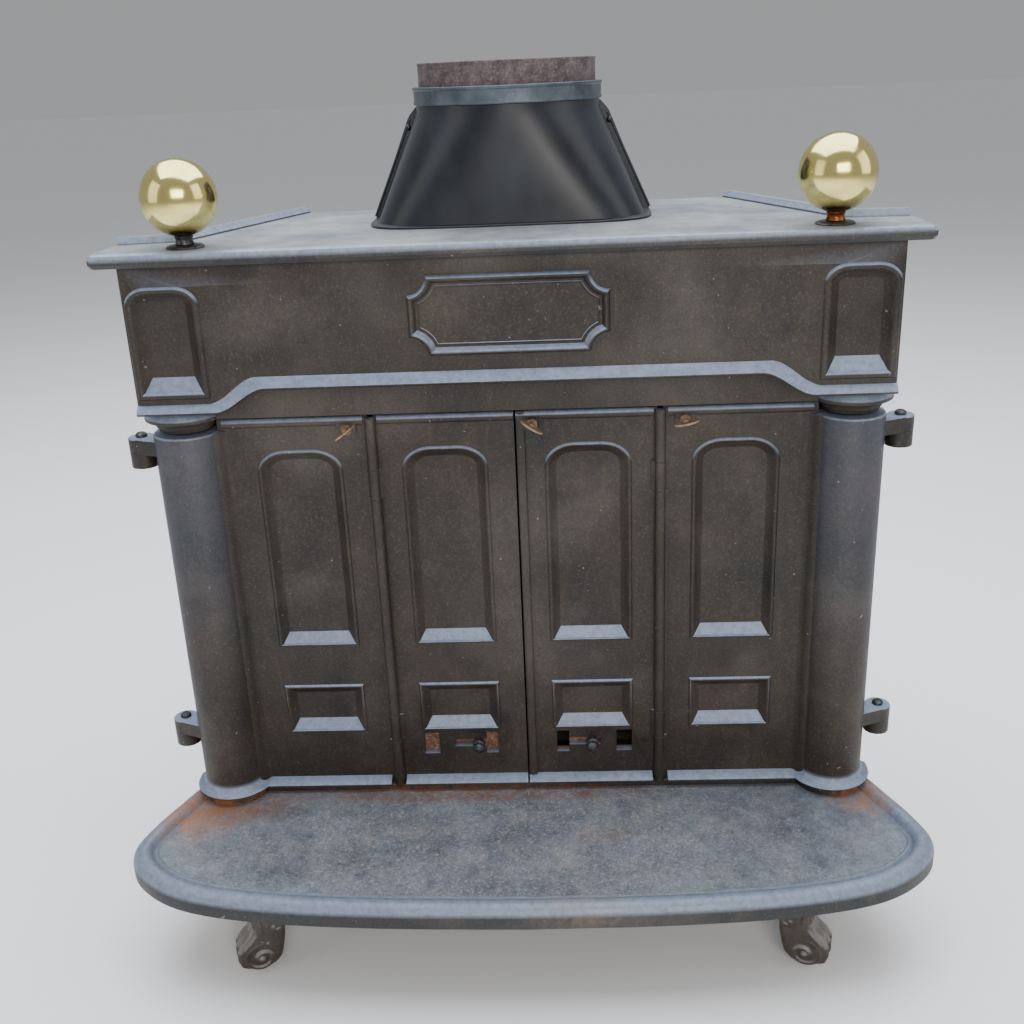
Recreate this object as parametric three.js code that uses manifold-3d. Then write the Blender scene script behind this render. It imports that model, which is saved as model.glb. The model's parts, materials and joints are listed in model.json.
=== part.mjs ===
// Wood burning stove: a cast iron fireplace stove with four folding door
// leaves, an open hearth plate on four scroll legs, a flue hood and two brass
// finials. Millimetres, +Z up, the doors face -Y.
import * as THREE from "three";
import { mergeVertices } from "three/addons/utils/BufferGeometryUtils.js";
import Module from "manifold-3d";

const wasm = await Module();
wasm.setup();

// ---------------------------------------------------------------- sizes
// Overall
const TOP_WIDTH = 860; // top plate, ear to ear
const TOP_DEPTH = 328; // front edge of the top plate to its back edge
const HEAD_ROOM = 191; // frieze and top plate above the head of the doors
const FLUE_RISE = 170; // rim of the flue spigot above the top plate
const HEARTH_WIDTH = 918; // widest place of the hearth plate
const HEARTH_REACH = 190; // hearth plate in front of the top plate's edge

// Clearances
const FIT = 0.3; // between pieces that touch
const RUN = 0.5; // between pieces that turn or slide on each other
const PIN_FIT = 0.35; // round a pin in its bore

// Castings
const WALL = 7; // firebox walls
const TOP_THICK = 15;
const EAR_DEPTH = 88; // straight sides of the top plate
const TOP_BACK = 276; // half width of the top plate at the back
const LEG_HEIGHT = 117; // floor to the underside of the hearth plate
const HEARTH_THICK = 26; // rim of the hearth plate, crown to underside
const FIELD_DROP = 7; // sunken field below the crown of the rim
const RIM_WIDTH = 26;

// Doors
const DOOR_FACE = 50; // y of the front face of the leaves
const LEAF = 8; // thickness of a leaf
const DOOR_GAP = 2; // under the doors, above the rim they swing over
const DOOR_HEIGHT = 474;
const HINGE_X = 425; // outer hinge line
const HINGE_Y = 66;
const FOLD_X = 160; // hinge line between the two leaves of a side
const FOLD_Y = 44.5;
const KNUCKLE_R = 6;
const FOLD_PIN_R = 2.6;
const COLUMN_X = 368;
const COLUMN_Y = 58;
const COLUMN_R = 38;

// Derived heights
const HEARTH_BOTTOM = LEG_HEIGHT;
const RIM_TOP = HEARTH_BOTTOM + HEARTH_THICK;
const FIELD_Z = RIM_TOP - FIELD_DROP;
const DOOR_BOTTOM = RIM_TOP + DOOR_GAP;
const DOOR_TOP = DOOR_BOTTOM + DOOR_HEIGHT;
const COLUMN_TOP = DOOR_TOP - 13;
const LINTEL_Z = DOOR_TOP + 4;
const TOP_Z = DOOR_TOP + HEAD_ROOM; // 810 above the floor
const TOTAL_HEIGHT = TOP_Z + FLUE_RISE; // 980
const TOP_UNDER = TOP_Z - TOP_THICK;
const WALL_BOTTOM = RIM_TOP + FIT;
const WALL_TOP = TOP_UNDER - FIT;

// Frieze
const FRIEZE_HALF = COLUMN_X + COLUMN_R - 3;
const FRIEZE_FACE = 12;
const FRIEZE_THICK = 9;
const BAND_LOW = DOOR_TOP + 18; // lower edge of the moulding on the pilasters
const BAND_RISE = 25; // how far it climbs over the doors
const BAND_IN = 262; // |x| where it reaches its upper level
const BAND_OUT = 318; // |x| where it is back on its lower level
const BAND_OUTER = 12; // its height on the face
const BAND_PROUD = 8;

// Flue
const FLUE_X = 0;
const FLUE_Y = 218;
const PIPE_R = 100;
const PIPE_WALL = 2.5;
const HOOD_HALF = 153; // half width of the hood at its foot
const HOOD_HALF_DEPTH = 104; // the same as the neck: the hood narrows in width only
const HOOD_NECK_R = 104;
const SHEET = 3;
const BAND_Z = TOP_Z + 126;
const BAND_HEIGHT = 19;
const BAND_R = 107;
const FLUE_HOLE_R = 92;

// Finials
const BALL_R = 39.4;
const BALL_X = 335;
const BALL_Y = 35;
const BALL_Z = TOP_Z + 50.6;

// The group is centred on its own bounding box.
const CENTRE_Y = (TOP_DEPTH - HEARTH_REACH) / 2;

// ---------------------------------------------------------------- solids
// A closed surface as a manifold-3d solid, whichever way its faces wind.
function solid(geometry) {
  const bare = new THREE.BufferGeometry().setAttribute(
    "position",
    geometry.getAttribute("position"),
  );
  if (geometry.index) bare.setIndex(geometry.index);
  const merged = mergeVertices(bare, 1e-4);
  const source = merged.index.array;
  const build = (flip) => {
    const tris = [];
    for (let i = 0; i < source.length; i += 3) {
      const [a, b, c] = [source[i], source[i + 1], source[i + 2]];
      if (a === b || b === c || a === c) continue;
      tris.push(a, flip ? c : b, flip ? b : c);
    }
    return new wasm.Manifold(
      new wasm.Mesh({
        numProp: 3,
        vertProperties: new Float32Array(merged.attributes.position.array),
        triVerts: new Uint32Array(tris),
      }),
    );
  };
  const first = build(false);
  return first.volume() < 0 ? build(true) : first;
}
const join = (...parts) => wasm.Manifold.union(parts.flat());
const cut = (body, ...tools) => body.subtract(join(...tools));

// Outlines with one number of corners each, joined by walls and closed at both
// ends. A ring is { pts: [[u, v], ...], at: (u, v) => [x, y, z] }.
function skin(rings) {
  const n = rings[0].pts.length;
  const position = rings.flatMap((r) => r.pts.flatMap(([u, v]) => r.at(u, v)));
  const index = [];
  for (let k = 0; k + 1 < rings.length; k++)
    for (let i = 0; i < n; i++) {
      const a = k * n + i,
        b = k * n + ((i + 1) % n);
      index.push(a, b, b + n, a, b + n, a + n);
    }
  // A cap's triangles follow its outline at the far end and run against it at
  // the near end.
  const cap = (ring, offset, sameWay) => {
    const flat = ring.pts.map(([u, v]) => new THREE.Vector2(u, v));
    const ringSign = Math.sign(THREE.ShapeUtils.area(flat));
    for (const [a, b, c] of THREE.ShapeUtils.triangulateShape(flat.slice(), [])) {
      const sign = Math.sign(THREE.ShapeUtils.area([flat[a], flat[b], flat[c]]));
      (sign === ringSign) === sameWay
        ? index.push(offset + a, offset + b, offset + c)
        : index.push(offset + a, offset + c, offset + b);
    }
  };
  cap(rings[0], 0, false);
  cap(rings.at(-1), (rings.length - 1) * n, true);
  const g = new THREE.BufferGeometry();
  g.setAttribute("position", new THREE.Float32BufferAttribute(position, 3));
  g.setIndex(index);
  return solid(g);
}
const atY = (y) => (u, v) => [u, y, v];
const atZ = (z) => (u, v) => [u, v, z];
const atX = (x) => (u, v) => [x, u, v];
const facing = (pts, y0, y1) => skin([{ pts, at: atY(y0) }, { pts, at: atY(y1) }]);
const lying = (pts, z0, z1) => skin([{ pts, at: atZ(z0) }, { pts, at: atZ(z1) }]);
const along = (pts, x0, x1) => skin([{ pts, at: atX(x0) }, { pts, at: atX(x1) }]);
const bevel = (a, ya, b, yb) =>
  skin([
    { pts: a, at: atY(ya) },
    { pts: b, at: atY(yb) },
  ]);
const block = (x0, x1, y0, y1, z0, z1) =>
  solid(
    new THREE.BoxGeometry(
      Math.abs(x1 - x0),
      Math.abs(y1 - y0),
      Math.abs(z1 - z0),
    ).translate((x0 + x1) / 2, (y0 + y1) / 2, (z0 + z1) / 2),
  );
// A round bar between two points.
function bar(radius, from, to, sides = 12, radiusTo = radius) {
  const a = new THREE.Vector3(...from),
    b = new THREE.Vector3(...to);
  const g = new THREE.CylinderGeometry(radiusTo, radius, a.distanceTo(b), sides);
  g.applyQuaternion(
    new THREE.Quaternion().setFromUnitVectors(
      new THREE.Vector3(0, 1, 0),
      b.clone().sub(a).normalize(),
    ),
  );
  const m = a.add(b).multiplyScalar(0.5);
  return solid(g.translate(m.x, m.y, m.z));
}
// A turned piece on a vertical axis; the profile runs [radius, z].
function turned(profile, x, y, sides = 24) {
  const g = new THREE.LatheGeometry(
    profile.map(([r, z]) => new THREE.Vector2(r, z)),
    sides,
  );
  return solid(g.rotateX(Math.PI / 2).translate(x, y, 0));
}

const root = new THREE.Group();
root.name = "wood_burning_stove";
root.position.y = -CENTRE_Y;
function add(name, body) {
  const m = body.getMesh();
  const count = m.vertProperties.length / m.numProp;
  const position = new Float32Array(count * 3);
  for (let i = 0; i < count; i++)
    for (let k = 0; k < 3; k++)
      position[i * 3 + k] = m.vertProperties[i * m.numProp + k];
  const g = new THREE.BufferGeometry();
  g.setAttribute("position", new THREE.BufferAttribute(position, 3));
  g.setIndex(new THREE.BufferAttribute(m.triVerts, 1));
  const mesh = new THREE.Mesh(g);
  mesh.name = name;
  root.add(mesh);
}

// ---------------------------------------------------------------- outlines
const mirrored = (s, pts) => pts.map(([x, y]) => [s * x, y]);
const rectangle = (x0, x1, z0, z1) => [
  [x0, z0],
  [x1, z0],
  [x1, z1],
  [x0, z1],
];
// A panel with a straight foot and two large round shoulders.
function arched(cx, half, z0, z1, shoulder, steps = 5) {
  const pts = [
    [cx - half, z0],
    [cx + half, z0],
  ];
  for (let i = 0; i <= steps; i++) {
    const t = ((Math.PI / 2) * i) / steps;
    pts.push([
      cx + half - shoulder + shoulder * Math.cos(t),
      z1 - shoulder * 0.8 + shoulder * 0.8 * Math.sin(t),
    ]);
  }
  for (let i = 0; i <= steps; i++) {
    const t = Math.PI / 2 + ((Math.PI / 2) * i) / steps;
    pts.push([
      cx - half + shoulder + shoulder * Math.cos(t),
      z1 - shoulder * 0.8 + shoulder * 0.8 * Math.sin(t),
    ]);
  }
  return pts;
}
// A rectangle whose four corners are scooped out.
function scooped(cx, cz, half, high, bx, bz, steps = 4) {
  const pts = [];
  for (const [sx, sz, from] of [
    [1, -1, 0],
    [1, 1, 1],
    [-1, 1, 2],
    [-1, -1, 3],
  ])
    for (let i = 0; i <= steps; i++) {
      const t = ((Math.PI / 2) * i) / steps;
      const odd = from % 2;
      const u = odd ? Math.sin(t) : Math.cos(t);
      const w = odd ? Math.cos(t) : Math.sin(t);
      pts.push([cx + sx * (half - bx * u), cz + sz * (high - bz * w)]);
    }
  return pts;
}
const circle = (cx, cy, r, n) =>
  Array.from({ length: n }, (_, i) => {
    const t = (2 * Math.PI * i) / n;
    return [cx + r * Math.cos(t), cy + r * Math.sin(t)];
  });
// Half-round plan of a column and everything turned to match it.
function halfRound(r, back, steps = 12) {
  const pts = [];
  for (let i = 0; i <= steps; i++) {
    const t = (Math.PI * i) / steps;
    pts.push([COLUMN_X + r * Math.cos(t), COLUMN_Y - r * Math.sin(t)]);
  }
  return [...pts, [COLUMN_X - r, back], [COLUMN_X + r, back]];
}
const stack = (s, levels, back) =>
  skin(
    levels.map(([r, z]) => ({ pts: mirrored(s, halfRound(r, back)), at: atZ(z) })),
  );

// ---------------------------------------------------------------- hearth plate
// Half of the front edge, from the middle to where it passes the column.
const HEARTH_EDGE = new THREE.SplineCurve(
  [
    [0, -HEARTH_REACH],
    [160, -HEARTH_REACH + 4],
    [290, -HEARTH_REACH + 15],
    [382, -HEARTH_REACH + 36],
    [437, -HEARTH_REACH + 73],
    [HEARTH_WIDTH / 2, -HEARTH_REACH + 115],
    [450, -28],
    [430, 22],
    [414, 62],
    [406, 84],
  ].map(([x, y]) => new THREE.Vector2(x, y)),
);
// The plate's outline moved inwards; the tail behind the columns is straight.
function hearthOutline(inset) {
  const half = [];
  const steps = 18;
  for (let i = 0; i <= steps; i++) {
    const t = i / steps;
    const p = HEARTH_EDGE.getPoint(t),
      d = HEARTH_EDGE.getTangent(t);
    half.push([
      i === 0 ? 0 : Math.max(p.x - d.y * inset, 0),
      p.y + d.x * inset,
    ]);
  }
  half.push([TOP_BACK - inset, TOP_DEPTH - 12 - inset]);
  return [...half, ...half.slice(1).reverse().map(([x, y]) => [-x, y])];
}
const rim = [
  [0, HEARTH_BOTTOM],
  [0, RIM_TOP - 8],
  [2.5, RIM_TOP - 3],
  [8, RIM_TOP],
  [16, RIM_TOP],
  [22.5, RIM_TOP - 3],
  [RIM_WIDTH, FIELD_Z],
];
const rimBody = skin(
  rim.map(([inset, z]) => ({ pts: hearthOutline(inset), at: atZ(z) })),
);
// The raised bed the firebox stands on, with a round end under each column.
const bedEdge = [];
for (let i = 0; i <= 10; i++) {
  const t = (Math.PI * i) / 10;
  bedEdge.push([
    COLUMN_X + 42 * Math.cos(t),
    COLUMN_Y - 42 * Math.sin(t),
  ]);
}
const bedHalf = [
  [392, 92],
  ...bedEdge.filter(([x, y]) => y < DOOR_FACE + 2 || x > COLUMN_X),
  [COLUMN_X - 42, DOOR_FACE - 6],
];
const bed = lying(
  [
    ...bedHalf,
    ...[...bedHalf].reverse().map(([x, y]) => [-x, y]),
    [-(TOP_BACK - 14), TOP_DEPTH - 26],
    [TOP_BACK - 14, TOP_DEPTH - 26],
  ],
  FIELD_Z - 2,
  RIM_TOP,
);
const LEG_X = 303;
const LEG_FRONT_Y = -100;
const LEG_BACK_X = 232;
const LEG_BACK_Y = 262;
const legPlaces = [
  ["front_left", -LEG_X, LEG_FRONT_Y, -1, -1],
  ["front_right", LEG_X, LEG_FRONT_Y, 1, -1],
  ["back_left", -LEG_BACK_X, LEG_BACK_Y, -1, 1],
  ["back_right", LEG_BACK_X, LEG_BACK_Y, 1, 1],
];
const BOLT_R = 5;
const hollow = lying(hearthOutline(13), HEARTH_BOTTOM - 1, HEARTH_BOTTOM + 10);
const bosses = legPlaces.map(([, x, y]) =>
  lying(circle(x, y, 30, 16), HEARTH_BOTTOM, HEARTH_BOTTOM + 12),
);
const ribs = [-150, 0, 150].map((x) =>
  block(x - 3, x + 3, -HEARTH_REACH + 20, TOP_DEPTH - 30, HEARTH_BOTTOM + 2, HEARTH_BOTTOM + 12),
);
add(
  "hearth_plate",
  cut(
    join(cut(join(rimBody, bed), hollow), ...bosses, ...ribs),
    legPlaces.map(([, x, y]) =>
      bar(BOLT_R + PIN_FIT, [x, y, HEARTH_BOTTOM - 5], [x, y, HEARTH_BOTTOM + 13], 12),
    ),
  ),
);

// ---------------------------------------------------------------- legs
const LEG_TOP = HEARTH_BOTTOM - FIT;
const FLANGE = 9;
// Scroll leg as a chain of ovals: [height, push outwards, half width, half depth]
const legRings = [
  [0, 14, 12, 8],
  [5, 14, 15, 20],
  [18, 13.5, 17, 25],
  [30, 11.5, 17, 25.5],
  [40, 6, 16, 22.5],
  [52, 1, 15, 18],
  [68, 0, 15, 18],
  [88, 0.5, 16, 20.5],
  [LEG_TOP - 3, 0.5, 20, 24],
];
for (const [place, x, y, sx, sy] of legPlaces) {
  const out = [sx * 0.94, sy * 0.34];
  const body = skin(
    legRings.map(([z, push, half, deep]) => ({
      pts: Array.from({ length: 12 }, (_, i) => {
        const t = (2 * Math.PI * i) / 12;
        const u = deep * Math.cos(t),
          v = half * Math.sin(t);
        return [
          x + out[0] * (push + u) - out[1] * v,
          y + out[1] * (push + u) + out[0] * v,
        ];
      }),
      at: atZ(z),
    })),
  );
  const foot = block(x - 27, x + 27, y - 27, y + 27, LEG_TOP - FLANGE, LEG_TOP);
  // The bolt goes up through a pocket in the back of the leg.
  const pocket = bar(10, [x - out[0] * 22, y - out[1] * 22, 30], [x, y, LEG_TOP - FLANGE], 12);
  add(
    "leg_" + place,
    cut(
      join(body, foot),
      bar(BOLT_R + PIN_FIT, [x, y, LEG_TOP - 40], [x, y, LEG_TOP + 1], 12),
      bar(10.5, [x, y, LEG_TOP - 60], [x, y, LEG_TOP - FLANGE], 12),
      pocket,
    ),
  );
  add(
    "leg_bolt_" + place,
    join(
      bar(BOLT_R, [x, y, LEG_TOP - FLANGE - 1], [x, y, LEG_TOP + 11], 12),
      bar(9, [x, y, LEG_TOP - FLANGE - 6.5], [x, y, LEG_TOP - FLANGE - FIT], 6),
    ),
  );
}

// ---------------------------------------------------------------- side walls
// Each wall is one casting: a jamb behind the column, the slanting wall, and a
// flange against the back wall, with two hinge lugs outside the jamb.
const JAMB_Y = HINGE_Y + 1;
const JAMB_IN = 338;
const JAMB_OUT = COLUMN_X + COLUMN_R - 4;
const BACK_Y = TOP_DEPTH - 22; // front face of the back wall
const BACK_X = TOP_BACK - 12;
const LUG_R = 15;
const PIN_R = 5;
const LUG_TALL = 17;
const UPPER_LUG = DOOR_TOP - 56; // underside of the lower tier of the upper hinge
const LOWER_LUG = DOOR_BOTTOM + 54;
const slant = new THREE.Vector2(BACK_X - JAMB_OUT, BACK_Y - JAMB_Y).normalize();
// x of the slanting wall's inner face at a depth y.
const innerFace = (y) =>
  JAMB_OUT + ((y - JAMB_Y) * slant.x) / slant.y - WALL / slant.y;
const wallPlan = [
  [JAMB_OUT, JAMB_Y],
  [BACK_X, BACK_Y - FIT],
  [BACK_X - 34, BACK_Y - FIT],
  [BACK_X - 34, BACK_Y - FIT - WALL],
  [innerFace(BACK_Y - FIT - WALL), BACK_Y - FIT - WALL],
  [innerFace(JAMB_Y + WALL + 1), JAMB_Y + WALL + 1],
  [JAMB_IN, JAMB_Y + WALL + 1],
  [JAMB_IN, JAMB_Y],
];
for (const [side, s] of [
  ["left", -1],
  ["right", 1],
]) {
  const lugs = [UPPER_LUG, LOWER_LUG].map((z) =>
    cut(
      join(
        lying(mirrored(s, circle(HINGE_X, HINGE_Y, LUG_R, 14)), z, z + LUG_TALL),
        lying(
          mirrored(s, [
            [HINGE_X + 4, HINGE_Y + LUG_R - 1],
            [HINGE_X - 11, HINGE_Y + 9],
            [JAMB_OUT - 12, JAMB_Y + 4],
            [JAMB_OUT - 16, JAMB_Y + 24],
          ]),
          z,
          z + LUG_TALL,
        ),
      ),
      bar(
        PIN_R + PIN_FIT,
        [s * HINGE_X, HINGE_Y, z - 1],
        [s * HINGE_X, HINGE_Y, z + LUG_TALL + 1],
        12,
      ),
    ),
  );
  // Two rests inside, for the smoke baffle.
  const rests = [
    [106, TOP_Z - 75],
    [236, TOP_Z - 138],
  ].map(([y, z]) => {
    const x = innerFace(y);
    return block(s * (x - 16), s * (x + 3), y - 9, y + 9, z - 26, z - 10);
  });
  add(
    "side_wall_" + side,
    join(lying(mirrored(s, wallPlan), WALL_BOTTOM, WALL_TOP), lugs, rests),
  );
  for (const [tier, z] of [
    ["upper", UPPER_LUG],
    ["lower", LOWER_LUG],
  ])
    add(
      "hinge_pin_" + tier + "_" + side,
      turned(
        [
          [0, z - 3],
          [PIN_R, z - 3],
          [PIN_R, z + 2 * LUG_TALL + RUN + FIT],
          [PIN_R + 1.5, z + 2 * LUG_TALL + RUN + FIT],
          [PIN_R + 1.5, z + 2 * LUG_TALL + RUN + 3],
          [PIN_R - 1, z + 2 * LUG_TALL + RUN + 5],
          [0, z + 2 * LUG_TALL + RUN + 5],
        ],
        s * HINGE_X,
        HINGE_Y,
        12,
      ),
    );
}

// ---------------------------------------------------------------- back wall
const back = [
  block(-BACK_X, BACK_X, BACK_Y, BACK_Y + WALL, WALL_BOTTOM, WALL_TOP),
  bevel(
    rectangle(-205, 205, WALL_BOTTOM + 77, WALL_TOP - 95),
    BACK_Y + WALL - 0.1,
    rectangle(-195, 195, WALL_BOTTOM + 87, WALL_TOP - 105),
    BACK_Y + WALL + 5,
  ),
  ...[-1, 1].map((s) =>
    block(s * 236, s * 244, BACK_Y + 3, BACK_Y + WALL + 6, WALL_BOTTOM + 30, WALL_TOP - 30),
  ),
];
const HOOK_X = 150;
const HOOK_TOP = RIM_TOP + 103; // upper face of the hooks that carry the fireback
const firebackHooks = [-HOOK_X, HOOK_X].map((x) =>
  block(x - 14, x + 14, BACK_Y - 7, BACK_Y + 1, HOOK_TOP - 10, HOOK_TOP),
);
add("back_wall", join(back, firebackHooks));

// Fireback: a heavy plate on two hooks, with a raised diamond.
const FIREBACK_Y = BACK_Y - 22;
const FIREBACK_FOOT = HOOK_TOP + 4;
const FIREBACK_TOP = DOOR_TOP - 9;
const FIREBACK_MID = (FIREBACK_FOOT + FIREBACK_TOP) / 2;
const diamond = (half, high) => [
  [0, FIREBACK_MID - high],
  [half, FIREBACK_MID],
  [0, FIREBACK_MID + high],
  [-half, FIREBACK_MID],
];
add(
  "fireback_plate",
  cut(
    join(
      facing(arched(0, 190, FIREBACK_FOOT, FIREBACK_TOP, 70), FIREBACK_Y, FIREBACK_Y + 13),
      bevel(diamond(90, 100), FIREBACK_Y + 0.1, diamond(72, 80), FIREBACK_Y - 5),
      [-HOOK_X, HOOK_X].map((x) =>
        block(x - 12, x + 12, FIREBACK_Y + 12, BACK_Y - FIT, HOOK_TOP + FIT, HOOK_TOP + 24),
      ),
    ),
    [-HOOK_X, HOOK_X].map((x) =>
      block(x - 18, x + 18, FIREBACK_Y + 13, BACK_Y + 1, HOOK_TOP - 16, HOOK_TOP + FIT),
    ),
  ),
);

// Smoke baffle on the four rests.
const baffle = [
  [100, TOP_Z - 68],
  [BACK_Y - 30, TOP_Z - 166],
  [BACK_Y - 30, TOP_Z - 174],
  [100, TOP_Z - 76],
];
add("smoke_baffle", along(baffle, -228, 228));

// ---------------------------------------------------------------- frieze
const smooth = (t) => {
  const c = Math.min(Math.max(t, 0), 1);
  return c * c * (3 - 2 * c);
};
const bandLow = (x) =>
  BAND_LOW + BAND_RISE * (1 - smooth((Math.abs(x) - BAND_IN) / (BAND_OUT - BAND_IN)));
const bandHigh = (x) =>
  BAND_LOW +
  BAND_OUTER +
  (BAND_RISE + 1.5) * (1 - smooth((Math.abs(x) - BAND_IN - 9) / (BAND_OUT - BAND_IN)));
const bandX = [
  0, 130, 250, 262, 268, 274, 280, 286, 292, 298, 304, 310, 316, 322, 328, 360, FRIEZE_HALF,
];
const across = [...bandX.slice(1).reverse().map((x) => -x), ...bandX];
// The face, cut to the line of the moulding over the doors.
const face = facing(
  [
    ...across.map((x) => [x, bandLow(x)]),
    [FRIEZE_HALF, TOP_UNDER - FIT],
    [-FRIEZE_HALF, TOP_UNDER - FIT],
  ],
  FRIEZE_FACE,
  FRIEZE_FACE + FRIEZE_THICK,
);
// The moulding: a sloping weathering that stands proud at its lower edge.
const bandFace = skin(
  across.map((x) => ({
    pts: [
      [FRIEZE_FACE + 3, bandLow(x)],
      [FRIEZE_FACE - BAND_PROUD, bandLow(x)],
      [FRIEZE_FACE - BAND_PROUD, bandLow(x) + 2.5],
      [FRIEZE_FACE - 1, bandHigh(x)],
      [FRIEZE_FACE + 3, bandHigh(x)],
    ],
    at: (y, z) => [x, y, z],
  })),
);
// The soffit behind the moulding runs back to the lintel.
const LINTEL_Y = 38;
const LINTEL_THICK = 12;
const soffit = skin(
  across
    .filter((x) => Math.abs(x) <= 330)
    .map((x) => ({
      pts: [
        [FRIEZE_FACE + 2, bandLow(x) + 1],
        [LINTEL_Y + LINTEL_THICK, bandLow(x) + 1],
        [LINTEL_Y + LINTEL_THICK, bandLow(x) + 8],
        [FRIEZE_FACE + 2, bandLow(x) + 8],
      ],
      at: (y, z) => [x, y, z],
    })),
);
const lintel = facing(
  [
    ...across.filter((x) => Math.abs(x) <= 330).map((x) => [x, bandLow(x) + 4]),
    [328, LINTEL_Z],
    [-328, LINTEL_Z],
  ],
  LINTEL_Y,
  LINTEL_Y + LINTEL_THICK,
);
const friezeEnds = [-1, 1].flatMap((s) => [
  // Return along the side, back to the jamb.
  block(
    s * (FRIEZE_HALF - FRIEZE_THICK),
    s * FRIEZE_HALF,
    FRIEZE_FACE,
    JAMB_Y - FIT,
    BAND_LOW,
    TOP_UNDER - FIT,
  ),
  // Floor of the pilaster, which carries the capital.
  block(
    s * 326,
    s * FRIEZE_HALF,
    FRIEZE_FACE + 2,
    JAMB_Y - FIT,
    BAND_LOW,
    BAND_LOW + 9,
  ),
  // Capital: a weathered abacus over a cove.
  stack(
    s,
    [
      [COLUMN_R - 7, DOOR_TOP - 9],
      [COLUMN_R - 5, DOOR_TOP - 6],
      [COLUMN_R - 1, DOOR_TOP - 1],
      [COLUMN_R + 5, DOOR_TOP + 2.5],
      [COLUMN_R + 6.5, DOOR_TOP + 4],
      [COLUMN_R + 6.5, DOOR_TOP + 7],
      [COLUMN_R + 2, DOOR_TOP + 14],
      [COLUMN_R - 1, BAND_LOW + 2],
    ],
    COLUMN_Y + 6,
  ),
  // Pilaster panel: a raised arched frame.
  bevel(
    arched(s * 361, 40, TOP_Z - 157, TOP_Z - 35, 26),
    FRIEZE_FACE + 1,
    arched(s * 361, 37.5, TOP_Z - 157, TOP_Z - 38, 24),
    FRIEZE_FACE - 4,
  ),
]);
const friezeRecess = [-1, 1].map((s) =>
  bevel(
    arched(s * 361, 33, TOP_Z - 155, TOP_Z - 43, 21),
    FRIEZE_FACE - 5,
    arched(s * 361, 24, TOP_Z - 139, TOP_Z - 52, 16),
    FRIEZE_FACE + 4,
  ),
);
// Blank plaque with scooped corners and a raised edge.
const PLAQUE_Z = TOP_Z - 76;
const plaque = bevel(
  scooped(0, PLAQUE_Z, 105, 42, 29, 16),
  FRIEZE_FACE + 1,
  scooped(0, PLAQUE_Z, 101, 38.5, 28.5, 15.5),
  FRIEZE_FACE - 5,
);
const plaqueField = bevel(
  scooped(0, PLAQUE_Z, 98, 36, 28, 15),
  FRIEZE_FACE - 6,
  scooped(0, PLAQUE_Z, 92, 31, 27, 12),
  FRIEZE_FACE - 0.5,
);
add(
  "frieze",
  cut(
    join(face, bandFace, soffit, lintel, friezeEnds, plaque),
    friezeRecess,
    plaqueField,
  ),
);

// ---------------------------------------------------------------- top plate
const EAR = TOP_WIDTH / 2;
const topPlan = (i) => {
  const half = [
    [EAR - i, 5 + i * 0.4],
    [EAR - i, EAR_DEPTH - 4 - i],
    [EAR - 7 - i, EAR_DEPTH + 1 - i],
    [366 - i * 0.7, EAR_DEPTH + 9 - i],
    [TOP_BACK - i * 0.8, TOP_DEPTH - i],
  ];
  const front = [
    [EAR - 4 - i, i],
  ];
  return [
    ...front,
    ...half,
    ...mirrored(-1, [...half].reverse()),
    ...mirrored(-1, front),
  ];
};
const topBody = skin([
  { pts: topPlan(3), at: atZ(TOP_UNDER) },
  { pts: topPlan(0), at: atZ(TOP_UNDER + 4) },
  { pts: topPlan(0), at: atZ(TOP_Z - 6) },
  { pts: topPlan(2), at: atZ(TOP_Z - 2) },
  { pts: topPlan(6), at: atZ(TOP_Z) },
]);
// A low bevelled rib along the back of each ear and up the slanting side.
const ribFor = (s) => {
  const outer = [
    [EAR - 8, EAR_DEPTH - 5],
    [363, EAR_DEPTH + 5],
    [TOP_BACK - 4, TOP_DEPTH - 5],
  ];
  const inner = [
    [EAR - 10, EAR_DEPTH - 17],
    [349, EAR_DEPTH - 8],
    [TOP_BACK - 17, TOP_DEPTH - 8],
  ];
  const ring = (shrink, z) => ({
    pts: mirrored(s, [
      ...outer.map(([x, y], k) => [
        x + (inner[k][0] - x) * shrink,
        y + (inner[k][1] - y) * shrink,
      ]),
      ...inner
        .map(([x, y], k) => [
          x + (outer[k][0] - x) * shrink,
          y + (outer[k][1] - y) * shrink,
        ])
        .reverse(),
    ]),
    at: atZ(z),
  });
  return skin([ring(0, TOP_Z - 2), ring(0.04, TOP_Z + 2), ring(0.3, TOP_Z + 8)]);
};
const FINIAL_SHANK_R = 5;
add(
  "top_plate",
  cut(
    join(topBody, ribFor(-1), ribFor(1)),
    lying(circle(FLUE_X, FLUE_Y, FLUE_HOLE_R, 32), TOP_UNDER - 1, TOP_Z + 1),
    [-1, 1].map((s) =>
      bar(
        FINIAL_SHANK_R + PIN_FIT,
        [s * BALL_X, BALL_Y, TOP_UNDER - 1],
        [s * BALL_X, BALL_Y, TOP_Z + 1],
        12,
      ),
    ),
  ),
);

// ---------------------------------------------------------------- flue hood
const FOOT_Z = TOP_Z + FIT;
const rounded = (half, deep, power, n = 28) =>
  Array.from({ length: n }, (_, i) => {
    const t = (2 * Math.PI * (i + 0.5)) / n;
    const c = Math.cos(t),
      v = Math.sin(t);
    return [
      FLUE_X + half * Math.sign(c) * Math.abs(c) ** power,
      FLUE_Y + deep * Math.sign(v) * Math.abs(v) ** power,
    ];
  });
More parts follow.
